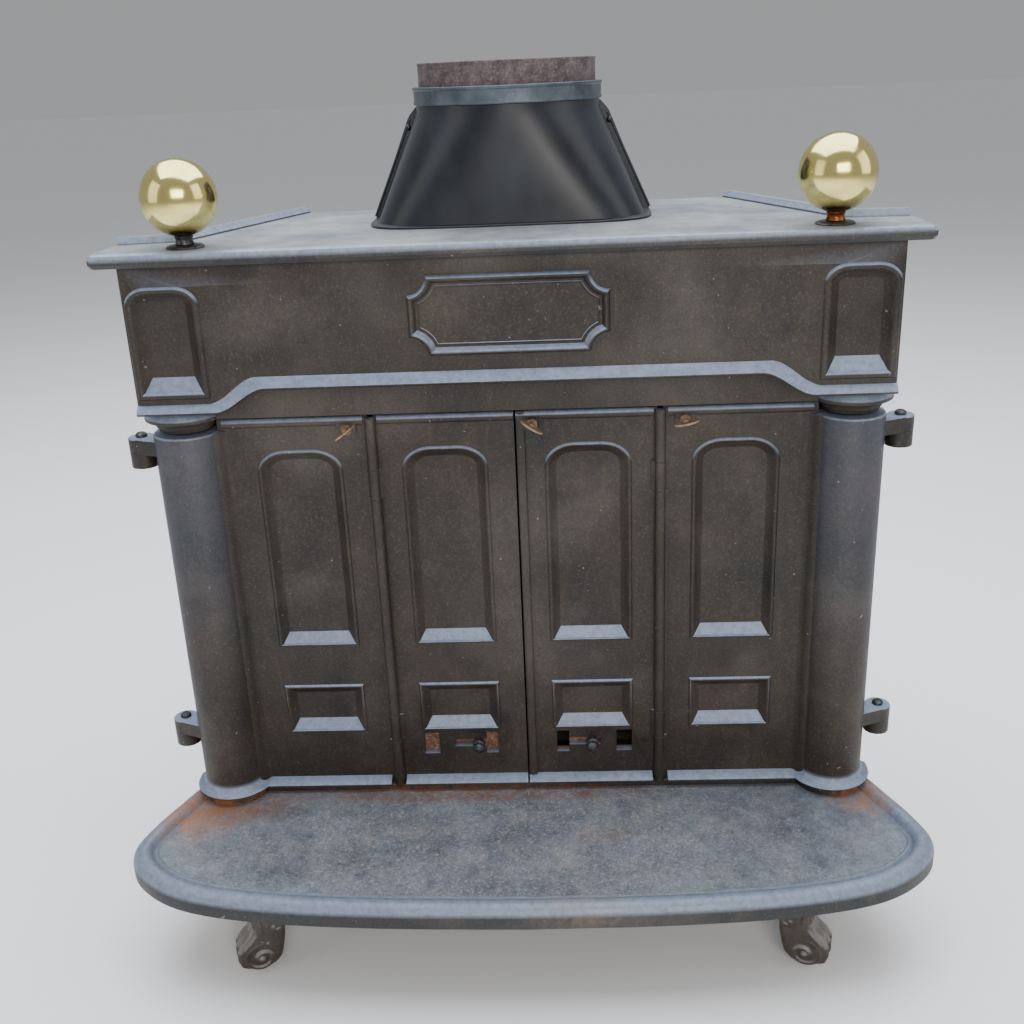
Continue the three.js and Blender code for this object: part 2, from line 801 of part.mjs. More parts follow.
// The hood narrows in a straight line from its foot to its neck.
const hoodHalfAt = (z) =>
  HOOD_HALF - ((HOOD_HALF - HOOD_NECK_R) * (z - FOOT_Z)) / (BAND_Z - 8 - FOOT_Z);
const hoodLevels = [
  [FOOT_Z, 0.5],
  [TOP_Z + 45, 0.66],
  [TOP_Z + 88, 0.85],
  [BAND_Z - 8, 1],
  [BAND_Z - FIT, 1],
].map(([z, power]) => [Math.max(hoodHalfAt(z), HOOD_NECK_R), HOOD_HALF_DEPTH, power, z]);
const hoodSkin = (inset, low, high) =>
  skin(
    hoodLevels.map(([half, deep, power, z], i) => ({
      pts: rounded(half - inset, deep - inset, power),
      at: atZ(i === 0 ? z - low : i === hoodLevels.length - 1 ? z + high : z),
    })),
  );
const hoodFlange = lying(rounded(HOOD_HALF + 7, HOOD_HALF_DEPTH + 4, 0.42), FOOT_Z, FOOT_Z + SHEET);
// Folded seams stand out at both ends, where the front and back sheets meet.
const SEAM = 8.5;
const SEAM_TOP = BAND_Z - 12;
const seams = [-1, 1].map((s) =>
  facing(
    [
      [s * (HOOD_HALF - 2), FOOT_Z + 1],
      [s * (HOOD_HALF + SEAM), FOOT_Z + 1],
      [s * (hoodHalfAt(SEAM_TOP) + SEAM), SEAM_TOP],
      [s * (HOOD_NECK_R + 2), BAND_Z - 3],
      [s * (HOOD_NECK_R - 2), BAND_Z - 3],
      [s * (hoodHalfAt(SEAM_TOP) - 2), SEAM_TOP],
    ],
    FLUE_Y - 1.8,
    FLUE_Y + 1.8,
  ),
);
const RIVET_Z = BAND_Z - 24;
const RIVET_X = hoodHalfAt(RIVET_Z) + SEAM / 2 + 0.2;
add(
  "flue_hood",
  cut(
    join(cut(join(hoodSkin(0, 0, 0), hoodFlange), hoodSkin(SHEET, 2, 2)), seams),
    hoodSkin(SHEET, 2, 2),
    [-1, 1].map((s) =>
      bar(2.2, [s * RIVET_X, FLUE_Y - 5, RIVET_Z], [s * RIVET_X, FLUE_Y + 5, RIVET_Z], 10),
    ),
  ),
);
for (const [side, s] of [
  ["left", -1],
  ["right", 1],
]) {
  const x = s * RIVET_X,
    z = RIVET_Z;
  add(
    "seam_rivet_" + side,
    join(
      bar(1.9, [x, FLUE_Y - 2.5, z], [x, FLUE_Y + 2.5, z], 10),
      bar(3.2, [x, FLUE_Y - 1.8 - FIT, z], [x, FLUE_Y - 4.2, z], 10, 2.2),
      bar(3.2, [x, FLUE_Y + 1.8 + FIT, z], [x, FLUE_Y + 4.2, z], 10, 2.2),
    ),
  );
}
// Clamp band round the neck, and the spigot it holds.
const ring = (inner, outer, z0, z1, sides) =>
  cut(
    lying(circle(FLUE_X, FLUE_Y, outer, sides), z0, z1),
    lying(circle(FLUE_X, FLUE_Y, inner, sides), z0 - 1, z1 + 1),
  );
add("collar_band", ring(PIPE_R + FIT, BAND_R, BAND_Z, BAND_Z + BAND_HEIGHT, 36));
add(
  "flue_spigot",
  ring(PIPE_R - PIPE_WALL, PIPE_R, BAND_Z - 12, TOTAL_HEIGHT, 36),
);

// ---------------------------------------------------------------- finials
for (const [side, s] of [
  ["left", -1],
  ["right", 1],
]) {
  const x = s * BALL_X;
  const WASHER = 2.6;
  const seat = BALL_Z - Math.sqrt(BALL_R ** 2 - 9.8 ** 2);
  const profile = [[0, seat]];
  for (let i = 0; i <= 11; i++) {
    const t = -Math.acos(9.8 / BALL_R) + ((Math.acos(9.8 / BALL_R) + Math.PI / 2) * i) / 11;
    profile.push([i === 11 ? 0 : BALL_R * Math.cos(t), BALL_Z + BALL_R * Math.sin(t)]);
  }
  add("finial_ball_" + side, turned(profile, x, BALL_Y, 24));
  add(
    "finial_stem_" + side,
    turned(
      [
        [0, TOP_UNDER - 12],
        [FINIAL_SHANK_R, TOP_UNDER - 12],
        [FINIAL_SHANK_R, TOP_Z + WASHER + 2 * FIT],
        [9.8, TOP_Z + WASHER + 2 * FIT],
        [9.2, seat - 3],
        [9.8, seat - FIT],
        [0, seat - FIT],
      ],
      x,
      BALL_Y,
      12,
    ),
  );
  add(
    "finial_washer_" + side,
    cut(
      turned(
        [
          [0, TOP_Z + FIT],
          [20, TOP_Z + FIT],
          [20, TOP_Z + 1.4],
          [17.5, TOP_Z + FIT + WASHER],
          [0, TOP_Z + FIT + WASHER],
        ],
        x,
        BALL_Y,
        16,
      ),
      bar(FINIAL_SHANK_R + PIN_FIT, [x, BALL_Y, TOP_Z - 2], [x, BALL_Y, TOP_Z + 8], 12),
    ),
  );
}

// ---------------------------------------------------------------- door leaves
const OUTER_EDGE = FOLD_X + 3.2; // free edge of an outer leaf
const INNER_EDGE = FOLD_X - 3.2; // hinge edge of an inner leaf
const CENTRE_GAP = 1; // each inner leaf stops this far from the middle
const PANEL_HALF = 49;
const OUTER_PANEL_X = 243.5;
const INNER_PANEL_X = 80;
const ARCH_TOP = DOOR_TOP - 37;
const ARCH_FOOT = DOOR_BOTTOM + 191;
const LOW_TOP = DOOR_BOTTOM + 139;
const LOW_FOOT = DOOR_BOTTOM + 73;
const VENT_Z = DOOR_BOTTOM + 53;
const VENT_HIGH = 14.5; // half height of a vent
const VENT_NEAR = [36, 51]; // |x| of the vent by the meeting edge
const VENT_FAR = [108.5, 127.5];
const SLOT_END = 89; // the knob's slot runs from the near vent to here
const SLOT_HIGH = 5;
const SLIDE_HIGH = 19; // half height of the air slide
const KNOB_OPEN = 79; // |x| of the knob with the vents open
const AIR_TRAVEL = 19.5; // from there inwards to shut
const LATCH_Z = DOOR_TOP - 15;
const SPINDLE_R = 4;
const LATCH_OUTER = 187;
const LATCH_CENTRE = 19;

const KNUCKLE = 34; // length of an inner leaf's knuckle
const knuckles = [DOOR_TOP - 96, DOOR_BOTTOM + 62]; // undersides
const FOLD_PIN_REACH = 13; // how far a pin enters the outer leaf's bead

// Raised frame and its sunken panel, as [what is added, what is cut].
function panelAt(cx, high) {
  const z0 = high ? ARCH_FOOT : LOW_FOOT,
    z1 = high ? ARCH_TOP : LOW_TOP;
  const shape = (i, foot) =>
    high
      ? arched(cx, PANEL_HALF - i, z0 + foot, z1 - i, 34 - i)
      : rectangle(cx - PANEL_HALF + i, cx + PANEL_HALF - i, z0 + foot, z1 - i);
  return [
    bevel(shape(0, 0), DOOR_FACE + 0.5, shape(2.5, 1.5), DOOR_FACE - 3.5),
    bevel(
      shape(6, 3.5),
      DOOR_FACE - 4.5,
      high ? shape(13, 15) : shape(14, 15),
      DOOR_FACE + 4,
    ),
  ];
}
// Half-round bead along the top edge.
const topBead = (x0, x1) =>
  bar(5.5, [x0, DOOR_FACE + 0.5, DOOR_TOP - 5.5], [x1, DOOR_FACE + 0.5, DOOR_TOP - 5.5], 14);
// Sloping ledge along the foot.
const ledgeAt = (x0, x1) =>
  along(
    [
      [DOOR_FACE + 3, DOOR_BOTTOM + 9],
      [DOOR_FACE, DOOR_BOTTOM + 9],
      [DOOR_FACE - 13, DOOR_BOTTOM + 3.5],
      [DOOR_FACE - 13, DOOR_BOTTOM],
      [DOOR_FACE + 3, DOOR_BOTTOM],
    ],
    x0,
    x1,
  );
const spindleHole = (x) =>
  bar(SPINDLE_R + PIN_FIT, [x, DOOR_FACE - 12, LATCH_Z], [x, DOOR_FACE + LEAF + 2, LATCH_Z], 14);
const latchTab = (x) =>
  join(
    facing(circle(x, LATCH_Z, 11, 16), DOOR_FACE - 4, DOOR_FACE + 1),
    block(x - 11, x + 11, DOOR_FACE - 4, DOOR_FACE + 1, LATCH_Z, DOOR_TOP - 4),
  );
const foldBore = (s, z0, z1) =>
  bar(FOLD_PIN_R + PIN_FIT, [s * FOLD_X, FOLD_Y, z0], [s * FOLD_X, FOLD_Y, z1], 12);
for (const [side, s] of [
  ["left", -1],
  ["right", 1],
]) {
  // Outer leaf: half-round column, leaf and bead are one casting.
  const [frame, recess] = panelAt(s * OUTER_PANEL_X, true);
  const [lowFrame, lowRecess] = panelAt(s * OUTER_PANEL_X, false);
  const columnFace = stack(
    s,
    [
      [COLUMN_R + 9, DOOR_BOTTOM],
      [COLUMN_R + 10.5, DOOR_BOTTOM + 2.5],
      [COLUMN_R + 9, DOOR_BOTTOM + 6],
      [COLUMN_R + 2.5, DOOR_BOTTOM + 8.5],
      [COLUMN_R, DOOR_BOTTOM + 13],
      [COLUMN_R, COLUMN_TOP - 1.5],
      [COLUMN_R - 1.5, COLUMN_TOP],
    ],
    HINGE_Y,
  );
  const columnHollow = stack(
    s,
    [
      [COLUMN_R - 6.5, DOOR_BOTTOM + 8],
      [COLUMN_R - 6.5, COLUMN_TOP - 6],
    ],
    HINGE_Y + 4,
  );
  const leafStart = COLUMN_X - COLUMN_R + 2;
  const leaf = block(
    s * OUTER_EDGE,
    s * leafStart,
    DOOR_FACE,
    DOOR_FACE + LEAF,
    DOOR_BOTTOM,
    COLUMN_TOP - 1,
  );
  const leafTop = block(
    s * OUTER_EDGE,
    s * (COLUMN_X - COLUMN_R - 1),
    DOOR_FACE,
    DOOR_FACE + LEAF,
    COLUMN_TOP - 2,
    DOOR_TOP,
  );
  // Cove where the column meets the leaf.
  const cove = lying(
    mirrored(s, [
      [COLUMN_X - 33, COLUMN_Y - 18.5],
      [COLUMN_X - 39, COLUMN_Y - 14.5],
      [COLUMN_X - 43.5, COLUMN_Y - 10.5],
      [COLUMN_X - 47, COLUMN_Y - 7.8],
      [COLUMN_X - 36, COLUMN_Y - 4],
    ]),
    DOOR_BOTTOM + 4,
    COLUMN_TOP - 1,
  );
  const bead = join(
    lying(
      mirrored(
        s,
        circle(FOLD_X, FOLD_Y, KNUCKLE_R, 16).filter(([, y]) => y < FOLD_Y + 4.8),
      ),
      DOOR_BOTTOM,
      DOOR_TOP - 2,
    ),
    block(s * (FOLD_X + 1), s * (OUTER_EDGE + 6), FOLD_Y - 1, DOOR_FACE + 3, DOOR_BOTTOM, DOOR_TOP - 2),
  );
  const beadNotches = knuckles.map((z) =>
    block(
      s * (FOLD_X - 10),
      s * (OUTER_EDGE + 7),
      FOLD_Y - 10,
      DOOR_FACE - 0.01,
      z - RUN,
      z + KNUCKLE + RUN,
    ),
  );
  const beadRelief = knuckles.map((z) =>
    block(
      s * (FOLD_X - 10),
      s * OUTER_EDGE,
      FOLD_Y - 10,
      DOOR_FACE + LEAF + 1,
      z - RUN,
      z + KNUCKLE + RUN,
    ),
  );
  const foldClear = block(
    s * (FOLD_X - 10),
    s * (OUTER_EDGE - 0.01),
    FOLD_Y + 4.75,
    DOOR_FACE + LEAF + 1,
    DOOR_BOTTOM - 1,
    DOOR_TOP + 1,
  );
  const doorLugs = [UPPER_LUG, LOWER_LUG].map((low) => {
    const z = low + LUG_TALL + RUN;
    return join(
      lying(mirrored(s, circle(HINGE_X, HINGE_Y, LUG_R, 14)), z, z + LUG_TALL),
      lying(
        mirrored(s, [
          [HINGE_X + 3, HINGE_Y - LUG_R + 0.4],
          [COLUMN_X + COLUMN_R - 8, HINGE_Y - LUG_R - 12],
          [COLUMN_X + COLUMN_R - 6, HINGE_Y],
          [HINGE_X - 6, HINGE_Y + 8],
        ]),
        z,
        z + LUG_TALL,
      ),
    );
  });
  const lugBores = [UPPER_LUG, LOWER_LUG].map((low) =>
    bar(
      PIN_R + PIN_FIT,
      [s * HINGE_X, HINGE_Y, low + LUG_TALL - 1],
      [s * HINGE_X, HINGE_Y, low + 2 * LUG_TALL + 2],
      12,
    ),
  );
  add(
    "door_outer_" + side,
    cut(
      join(
        cut(join(columnFace, leaf, cove), columnHollow),
        leafTop,
        frame,
        lowFrame,
        topBead(s * (OUTER_EDGE + 5), s * (COLUMN_X - COLUMN_R - 4)),
        ledgeAt(s * (FOLD_X + 10.5), s * (COLUMN_X - COLUMN_R - 2)),
        cut(bead, beadNotches, beadRelief, foldClear),
        doorLugs,
        latchTab(s * LATCH_OUTER),
      ),
      recess,
      lowRecess,
      lugBores,
      spindleHole(s * LATCH_OUTER),
      knuckles.map((z) => foldBore(s, z - FOLD_PIN_REACH - RUN, z + KNUCKLE + FOLD_PIN_REACH + RUN)),
    ),
  );

  // Inner leaf: hinge knuckles, panels, and two air vents, one of them running
  // on into the slot of the knob.
  const [frame2, recess2] = panelAt(s * INNER_PANEL_X, true);
  const [lowFrame2, lowRecess2] = panelAt(s * INNER_PANEL_X, false);
  const plate = lying(
    mirrored(s, [
      [CENTRE_GAP, DOOR_FACE],
      [INNER_EDGE - 3, DOOR_FACE],
      [INNER_EDGE, DOOR_FACE + 2.2],
      [INNER_EDGE, DOOR_FACE + LEAF],
      [CENTRE_GAP, DOOR_FACE + LEAF],
    ]),
    DOOR_BOTTOM,
    DOOR_TOP,
  );
  const leafKnuckles = knuckles.map((z) =>
    join(
      lying(mirrored(s, circle(FOLD_X, FOLD_Y, KNUCKLE_R, 16)), z, z + KNUCKLE),
      lying(
        mirrored(s, [
          [FOLD_X - 1, FOLD_Y - 4],
          [FOLD_X - 2, FOLD_Y + 5],
          [INNER_EDGE - 1, DOOR_FACE + 4],
          [INNER_EDGE - 7, DOOR_FACE + 2],
          [INNER_EDGE - 8, DOOR_FACE - 1],
        ]),
        z,
        z + KNUCKLE,
      ),
    ),
  );
  const behind = DOOR_FACE + LEAF;
  const vents = [VENT_NEAR, VENT_FAR].map(([x0, x1]) =>
    block(s * x0, s * x1, DOOR_FACE - 2, behind + 1, VENT_Z - VENT_HIGH, VENT_Z + VENT_HIGH),
  );
  const slot = block(
    s * (VENT_NEAR[1] - 2),
    s * SLOT_END,
    DOOR_FACE - 2,
    behind + 1,
    VENT_Z - SLOT_HIGH,
    VENT_Z + SLOT_HIGH,
  );
  // Two hooked rails behind the leaf carry the air slide.
  const rails = [-1, 1].map((k) =>
    along(
      [
        [behind - 1, VENT_Z + k * (SLIDE_HIGH + RUN)],
        [behind + 3.5, VENT_Z + k * (SLIDE_HIGH + RUN)],
        [behind + 3.5, VENT_Z + k * (SLIDE_HIGH - 3)],
        [behind + 6, VENT_Z + k * (SLIDE_HIGH - 3)],
        [behind + 6, VENT_Z + k * (SLIDE_HIGH + 4)],
        [behind - 1, VENT_Z + k * (SLIDE_HIGH + 4)],
      ],
      s * 24,
      s * 146,
    ),
  );
  const extras = [];
  if (s > 0) {
    // The right leaf carries the meeting strip and the middle latch.
    extras.push(
      join(
        lying(
          [
            [CENTRE_GAP, DOOR_FACE + 1],
            [CENTRE_GAP, DOOR_FACE - 3],
            [CENTRE_GAP + 2, DOOR_FACE - 4.5],
            [CENTRE_GAP + 8, DOOR_FACE - 4.5],
            [CENTRE_GAP + 10, DOOR_FACE - 2.5],
            [CENTRE_GAP + 10, DOOR_FACE + 1],
          ],
          DOOR_BOTTOM + 9,
          DOOR_TOP,
        ),
      ),
      latchTab(LATCH_CENTRE),
    );
  }
  const parts = join(
    cut(plate, vents, slot),
    frame2,
    lowFrame2,
    topBead(s * CENTRE_GAP, s * (INNER_EDGE - 4)),
    ledgeAt(s * CENTRE_GAP, s * (FOLD_X - KNUCKLE_R - 2)),
    leafKnuckles,
    rails,
    extras,
  );
  add(
    "door_inner_" + side,
    cut(
      parts,
      recess2,
      lowRecess2,
      s > 0 ? [spindleHole(LATCH_CENTRE)] : [],
      knuckles.map((z) => foldBore(s, z - 1, z + KNUCKLE + 1)),
    ),
  );
  for (const [k, tier] of ["upper", "lower"].entries())
    add(
      "fold_pin_" + tier + "_" + side,
      bar(
        FOLD_PIN_R,
        [s * FOLD_X, FOLD_Y, knuckles[k] - FOLD_PIN_REACH],
        [s * FOLD_X, FOLD_Y, knuckles[k] + KNUCKLE + FOLD_PIN_REACH],
        12,
      ),
    );

  // Air slide: a plate with two windows, and the knob that moves it. The left
  // one stands shut and the right one open.
  const shift = s < 0 ? AIR_TRAVEL : 0;
  const slideY = behind + RUN;
  const knobX = s * (KNOB_OPEN - shift);
  const windows = [VENT_NEAR, VENT_FAR].map(([x0, x1]) =>
    block(
      s * (x0 - shift),
      s * (x1 - shift),
      slideY - 1,
      slideY + 4,
      VENT_Z - VENT_HIGH + 1,
      VENT_Z + VENT_HIGH - 1,
    ),
  );
  add(
    "air_slide_" + side,
    cut(
      block(
        s * (VENT_NEAR[0] - 7.5 - shift),
        s * (VENT_FAR[1] + AIR_TRAVEL + 3 - shift),
        slideY,
        slideY + 2.5,
        VENT_Z - SLIDE_HIGH,
        VENT_Z + SLIDE_HIGH,
      ),
      windows,
      bar(2.5 + PIN_FIT, [knobX, slideY - 1, VENT_Z], [knobX, slideY + 4, VENT_Z], 12),
    ),
  );
  add(
    "air_knob_" + side,
    join(
      bar(2.5, [knobX, behind + 4, VENT_Z], [knobX, DOOR_FACE - 4, VENT_Z], 12),
      bar(4, [knobX, slideY - FIT, VENT_Z], [knobX, DOOR_FACE - 3, VENT_Z], 12),
      bar(7.2, [knobX, DOOR_FACE - 1.5, VENT_Z], [knobX, DOOR_FACE - 8, VENT_Z], 12, 6.6),
      bar(5, [knobX, DOOR_FACE - 7, VENT_Z], [knobX, DOOR_FACE - 12, VENT_Z], 12),
      bar(7, [knobX, DOOR_FACE - 11, VENT_Z], [knobX, DOOR_FACE - 18, VENT_Z], 12, 5.4),
    ),
  );
}

// ---------------------------------------------------------------- latches
// Each latch is a thumb turn in front of the leaf, an oval plate edgeways on a
// spindle, and a tongue behind it that lies flat when the door is free and
// turns up behind the lintel. LEAN is how far the plate's right end stands up.
const WING_HALF = 14; // half length of the oval plate
const WING_THICK = 2.6;
for (const [place, x, lean, way] of [
  ["left", -LATCH_OUTER, 36, -1],
  ["middle", LATCH_CENTRE, -33, 1],
  ["right", LATCH_OUTER, 11, 1],
]) {
  const front = DOOR_FACE - 4;
  const turn = THREE.MathUtils.degToRad(lean);
  const oval = circle(0, 0, 1, 20).map(([u, v]) => [WING_HALF * u, front - 12 + 8 * v]);
  const wing = skin(
    [-WING_THICK / 2, WING_THICK / 2].map((w) => ({
      pts: oval,
      at: (u, y) => [
        x + u * Math.cos(turn) - w * Math.sin(turn),
        y,
        LATCH_Z + u * Math.sin(turn) + w * Math.cos(turn),
      ],
    })),
  );
  add(
    "latch_wing_" + place,
    join(
      wing,
      bar(3.4, [x, front - 9, LATCH_Z], [x, front - RUN, LATCH_Z], 12, 6),
      bar(SPINDLE_R, [x, front - 3, LATCH_Z], [x, DOOR_FACE + LEAF + 7, LATCH_Z], 12),
    ),
  );
  const tongueY = DOOR_FACE + LEAF + RUN;
  add(
    "latch_tongue_" + place,
    cut(
      join(
        facing(circle(x, LATCH_Z, 8, 16), tongueY, tongueY + 4),
        block(x, x + way * 28, tongueY, tongueY + 4, LATCH_Z - 6, LATCH_Z + 6),
      ),
      bar(SPINDLE_R + PIN_FIT, [x, tongueY - 1, LATCH_Z], [x, tongueY + 6, LATCH_Z], 12),
    ),
  );
}

// ---------------------------------------------------------------- fire grate
const GRATE_Z = RIM_TOP + FIT;
const grateY0 = 104,
  grateY1 = 262;
const grateBars = [];
for (let i = 0; i < 9; i++) {
  const x = -152 + 38 * i;
  grateBars.push(
    along([[grateY0, GRATE_Z + 28], [grateY0, GRATE_Z + 42], [grateY1, GRATE_Z + 42], [grateY1, GRATE_Z + 28]], x - 6, x + 6),
  );
}
add(
  "fire_grate",
  join(
    grateBars,
    [grateY0 + 14, grateY1 - 14].map((y) =>
      block(-160, 160, y - 6, y + 6, GRATE_Z + 24, GRATE_Z + 36),
    ),
    [-1, 1].flatMap((s) =>
      [grateY0 + 14, grateY1 - 14].map((y) =>
        block(s * 146, s * 158, y - 6, y + 6, GRATE_Z, GRATE_Z + 30),
      ),
    ),
  ),
);
// Log guard hooked over the front of the grate.
add(
  "log_guard",
  join(
    block(-170, 170, grateY0 - 14, grateY0 - 6, GRATE_Z + 96, GRATE_Z + 106),
    block(-170, 170, grateY0 - 14, grateY0 - 6, GRATE_Z + 30, GRATE_Z + 40),
    [-165, -82.5, 0, 82.5, 165].map((x) =>
      block(x - 5, x + 5, grateY0 - 14, grateY0 - 6, Math.abs(x) > 100 ? GRATE_Z : GRATE_Z + 31, GRATE_Z + 112),
    ),
    [-165, 165].map((x) =>
      block(x - 5, x + 5, grateY0 - 14, grateY0 + 40, GRATE_Z, GRATE_Z + 9),
    ),
  ),
);

export default root;
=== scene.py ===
# %% [markdown]
# # A wood burning stove in cast iron
# The real object is a fireplace stove: a firebox of iron castings with four
# folding door leaves, an open hearth plate in front on scroll legs, a sheet
# steel flue hood on top and two polished brass balls.
# The engineering model gives every piece its place and its joints. Here each
# visible casting gets the fine shape and the finish that the plain model
# leaves out. We start by loading that model and noting its outer box.

# %% Load the frame
import json
from math import asin, cos, pi, radians, sin, sqrt

import bmesh
import bpy
from mathutils import Matrix, Vector


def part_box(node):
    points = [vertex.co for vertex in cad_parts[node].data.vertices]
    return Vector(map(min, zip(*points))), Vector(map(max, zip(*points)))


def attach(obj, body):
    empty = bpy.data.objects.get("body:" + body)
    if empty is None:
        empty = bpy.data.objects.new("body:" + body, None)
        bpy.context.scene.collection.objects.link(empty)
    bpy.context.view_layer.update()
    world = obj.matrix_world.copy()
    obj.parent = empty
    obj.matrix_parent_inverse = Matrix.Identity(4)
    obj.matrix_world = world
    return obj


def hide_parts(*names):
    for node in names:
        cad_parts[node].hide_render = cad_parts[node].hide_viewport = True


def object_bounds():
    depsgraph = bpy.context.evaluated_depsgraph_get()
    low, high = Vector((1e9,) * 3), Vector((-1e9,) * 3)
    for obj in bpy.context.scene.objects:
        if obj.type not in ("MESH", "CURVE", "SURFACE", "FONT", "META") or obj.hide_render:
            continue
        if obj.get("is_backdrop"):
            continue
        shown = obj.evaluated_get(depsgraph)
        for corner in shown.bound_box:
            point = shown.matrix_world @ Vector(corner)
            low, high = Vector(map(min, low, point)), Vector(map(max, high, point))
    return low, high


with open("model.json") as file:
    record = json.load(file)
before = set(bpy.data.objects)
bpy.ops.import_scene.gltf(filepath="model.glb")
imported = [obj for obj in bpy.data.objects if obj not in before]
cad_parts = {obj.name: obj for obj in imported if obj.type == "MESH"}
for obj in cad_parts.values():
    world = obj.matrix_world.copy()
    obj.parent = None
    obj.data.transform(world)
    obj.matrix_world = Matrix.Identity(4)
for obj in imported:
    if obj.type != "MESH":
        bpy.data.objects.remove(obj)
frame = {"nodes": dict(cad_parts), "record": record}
cad_low, cad_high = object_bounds()
print("frame", [round(v, 4) for v in (*cad_low, *cad_high)], len(frame["nodes"]), "nodes")

# %% [markdown]
# ## Millimetres from the front edge of the top plate
# A founder measures a stove from one datum. Ours is the front edge of the top
# plate for depth, the middle for width and the floor for height. One helper
# turns such millimetres into Blender's metres, so that the numbers below can
# be read like a drawing.

# %% The datum
MM = 0.001
FRONT_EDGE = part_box("top_plate")[0].y
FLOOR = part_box("leg_front_left")[0].z


def at(x, y, z):
    return Vector((x * MM, FRONT_EDGE + y * MM, FLOOR + z * MM))


TOP = 810  # upper face of the top plate
RIM = 143  # crown of the hearth plate's rim
FIELD = 136  # its sunken field
FACE = 50  # depth of the doors' front faces
LEAF = 8  # thickness of a door leaf
DOOR_FOOT = 145
DOOR_HEAD = 619
COLUMN_X, COLUMN_Y = 368, 58  # axis of a half-round column
HINGE_X, HINGE_Y = 425, 66  # pin of an outer leaf
FOLD_X, FOLD_Y, FOLD_R = 160, 44.5, 6  # bead and pins between two leaves
LATCH_Z, VENT_Z = 604, 198  # heights of the latches and of the air vents
print("the doors are", DOOR_HEAD - DOOR_FOOT, "mm tall, and the plate lies at", TOP)

# %% [markdown]
# ## The camera
# Someone stands in front of the stove, a little left of its middle, and looks
# down on it. The camera is placed first, because everything else is judged
# through it. It is turned by a yaw, a pitch and a small roll.

# %% Camera
camera_data = bpy.data.cameras.new("stove_camera")
camera_data.lens = 41.05
camera_data.sensor_width = 36.0
camera_data.clip_start, camera_data.clip_end = 0.05, 60
camera = bpy.data.objects.new("stove_camera", camera_data)
bpy.context.scene.collection.objects.link(camera)
yaw, pitch, roll = radians(-2.8), radians(20.8), radians(2.5)
gaze = Vector((sin(yaw) * cos(pitch), cos(yaw) * cos(pitch), -sin(pitch)))
level = Vector((cos(yaw), -sin(yaw), 0))
upright = level.cross(gaze)
right = level * cos(roll) - upright * sin(roll)
above = level * sin(roll) + upright * cos(roll)
camera.matrix_world = Matrix.Translation((0.0534, -1.2575, 0.9709)) @ Matrix(
    (right, above, -gaze)
).transposed().to_4x4()
bpy.context.scene.camera = camera
print("camera looks along", [round(v, 3) for v in gaze])

# %% [markdown]
# ## Floor and light
# A plain pale floor and soft studio light. Cast iron is nearly black, so it is
# drawn by what it reflects: a very large soft box overhead lights every face
# that looks up, and three weak ones at the sides and in front draw the columns
# and the balls. The front stays dim, as it does under an open sky.

# %% Floor
floor_mesh = bpy.data.meshes.new("floor")
floor_bm = bmesh.new()
bmesh.ops.create_grid(floor_bm, x_segments=1, y_segments=1, size=40)
floor_bm.to_mesh(floor_mesh)
floor_bm.free()
floor = bpy.data.objects.new("floor", floor_mesh)
bpy.context.scene.collection.objects.link(floor)
plain = bpy.data.materials.new("pale_studio_floor")
plain.use_nodes = True
pale = plain.node_tree.nodes["Principled BSDF"]
pale.inputs["Base Color"].default_value = (0.93, 0.93, 0.94, 1)
pale.inputs["Roughness"].default_value = 0.9
floor_mesh.materials.append(plain)
floor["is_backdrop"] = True

# %% Soft boxes and the room's own light
def soft_box(name, place, aim, width, depth, watts, tint):
    data = bpy.data.lights.new(name, "AREA")
    data.shape = "RECTANGLE"
    data.size, data.size_y = width, depth
    data.energy = watts
    data.color = tint
    lamp = bpy.data.objects.new(name, data)
    lamp.location = place
    lamp.rotation_euler = (Vector(aim) - Vector(place)).to_track_quat("-Z", "Y").to_euler()
    bpy.context.scene.collection.objects.link(lamp)
    return lamp


soft_box("sky_box", (0, 0.5, 3.0), (0, 0.1, 0.6), 3.8, 3.4, 190, (0.86, 0.92, 1.0))
soft_box("left_box", (-2.4, -1.1, 1.5), (0, 0, 0.5), 1.4, 2.0, 10, (1.0, 0.97, 0.92))
soft_box("right_box", (2.5, -0.7, 1.6), (0, 0, 0.5), 1.4, 2.0, 13, (1.0, 0.98, 0.95))
soft_box("front_box", (0.45, -2.9, 1.7), (0.05, 0, 0.4), 1.8, 1.2, 50, (1.0, 0.96, 0.91))

world = bpy.data.worlds.new("studio")
bpy.context.scene.world = world
world.use_nodes = True
sky = world.node_tree
room = sky.nodes["Background"]
room.inputs["Color"].default_value = (0.95, 0.97, 1.0, 1)
room.inputs["Strength"].default_value = 0.42
# the wall behind the floor, about as bright as the floor's far end
wall = sky.nodes.new("ShaderNodeBackground")
wall.inputs["Color"].default_value = (0.97, 0.98, 1.0, 1)
wall.inputs["Strength"].default_value = 0.37
seen = sky.nodes.new("ShaderNodeLightPath")
either = sky.nodes.new("ShaderNodeMixShader")
sky.links.new(seen.outputs["Is Camera Ray"], either.inputs[0])
sky.links.new(room.outputs[0], either.inputs[1])
sky.links.new(wall.outputs[0], either.inputs[2])
sky.links.new(either.outputs[0], sky.nodes["World Output"].inputs["Surface"])
print("four soft boxes")

# %% [markdown]
# ## Tools for the bench
# Almost everything here is a casting: a flat plate with raised and sunken
# panels, or a turned or swept moulding. Three main tools make them. `loft`
# joins outlines by bridging their edge loops, `spun` turns a profile about an
# axis, and `relief` insets a face again and again, which is how a pattern
# maker cuts a panel. A last one, `piece`, hands the finished mesh to its
# moving body.

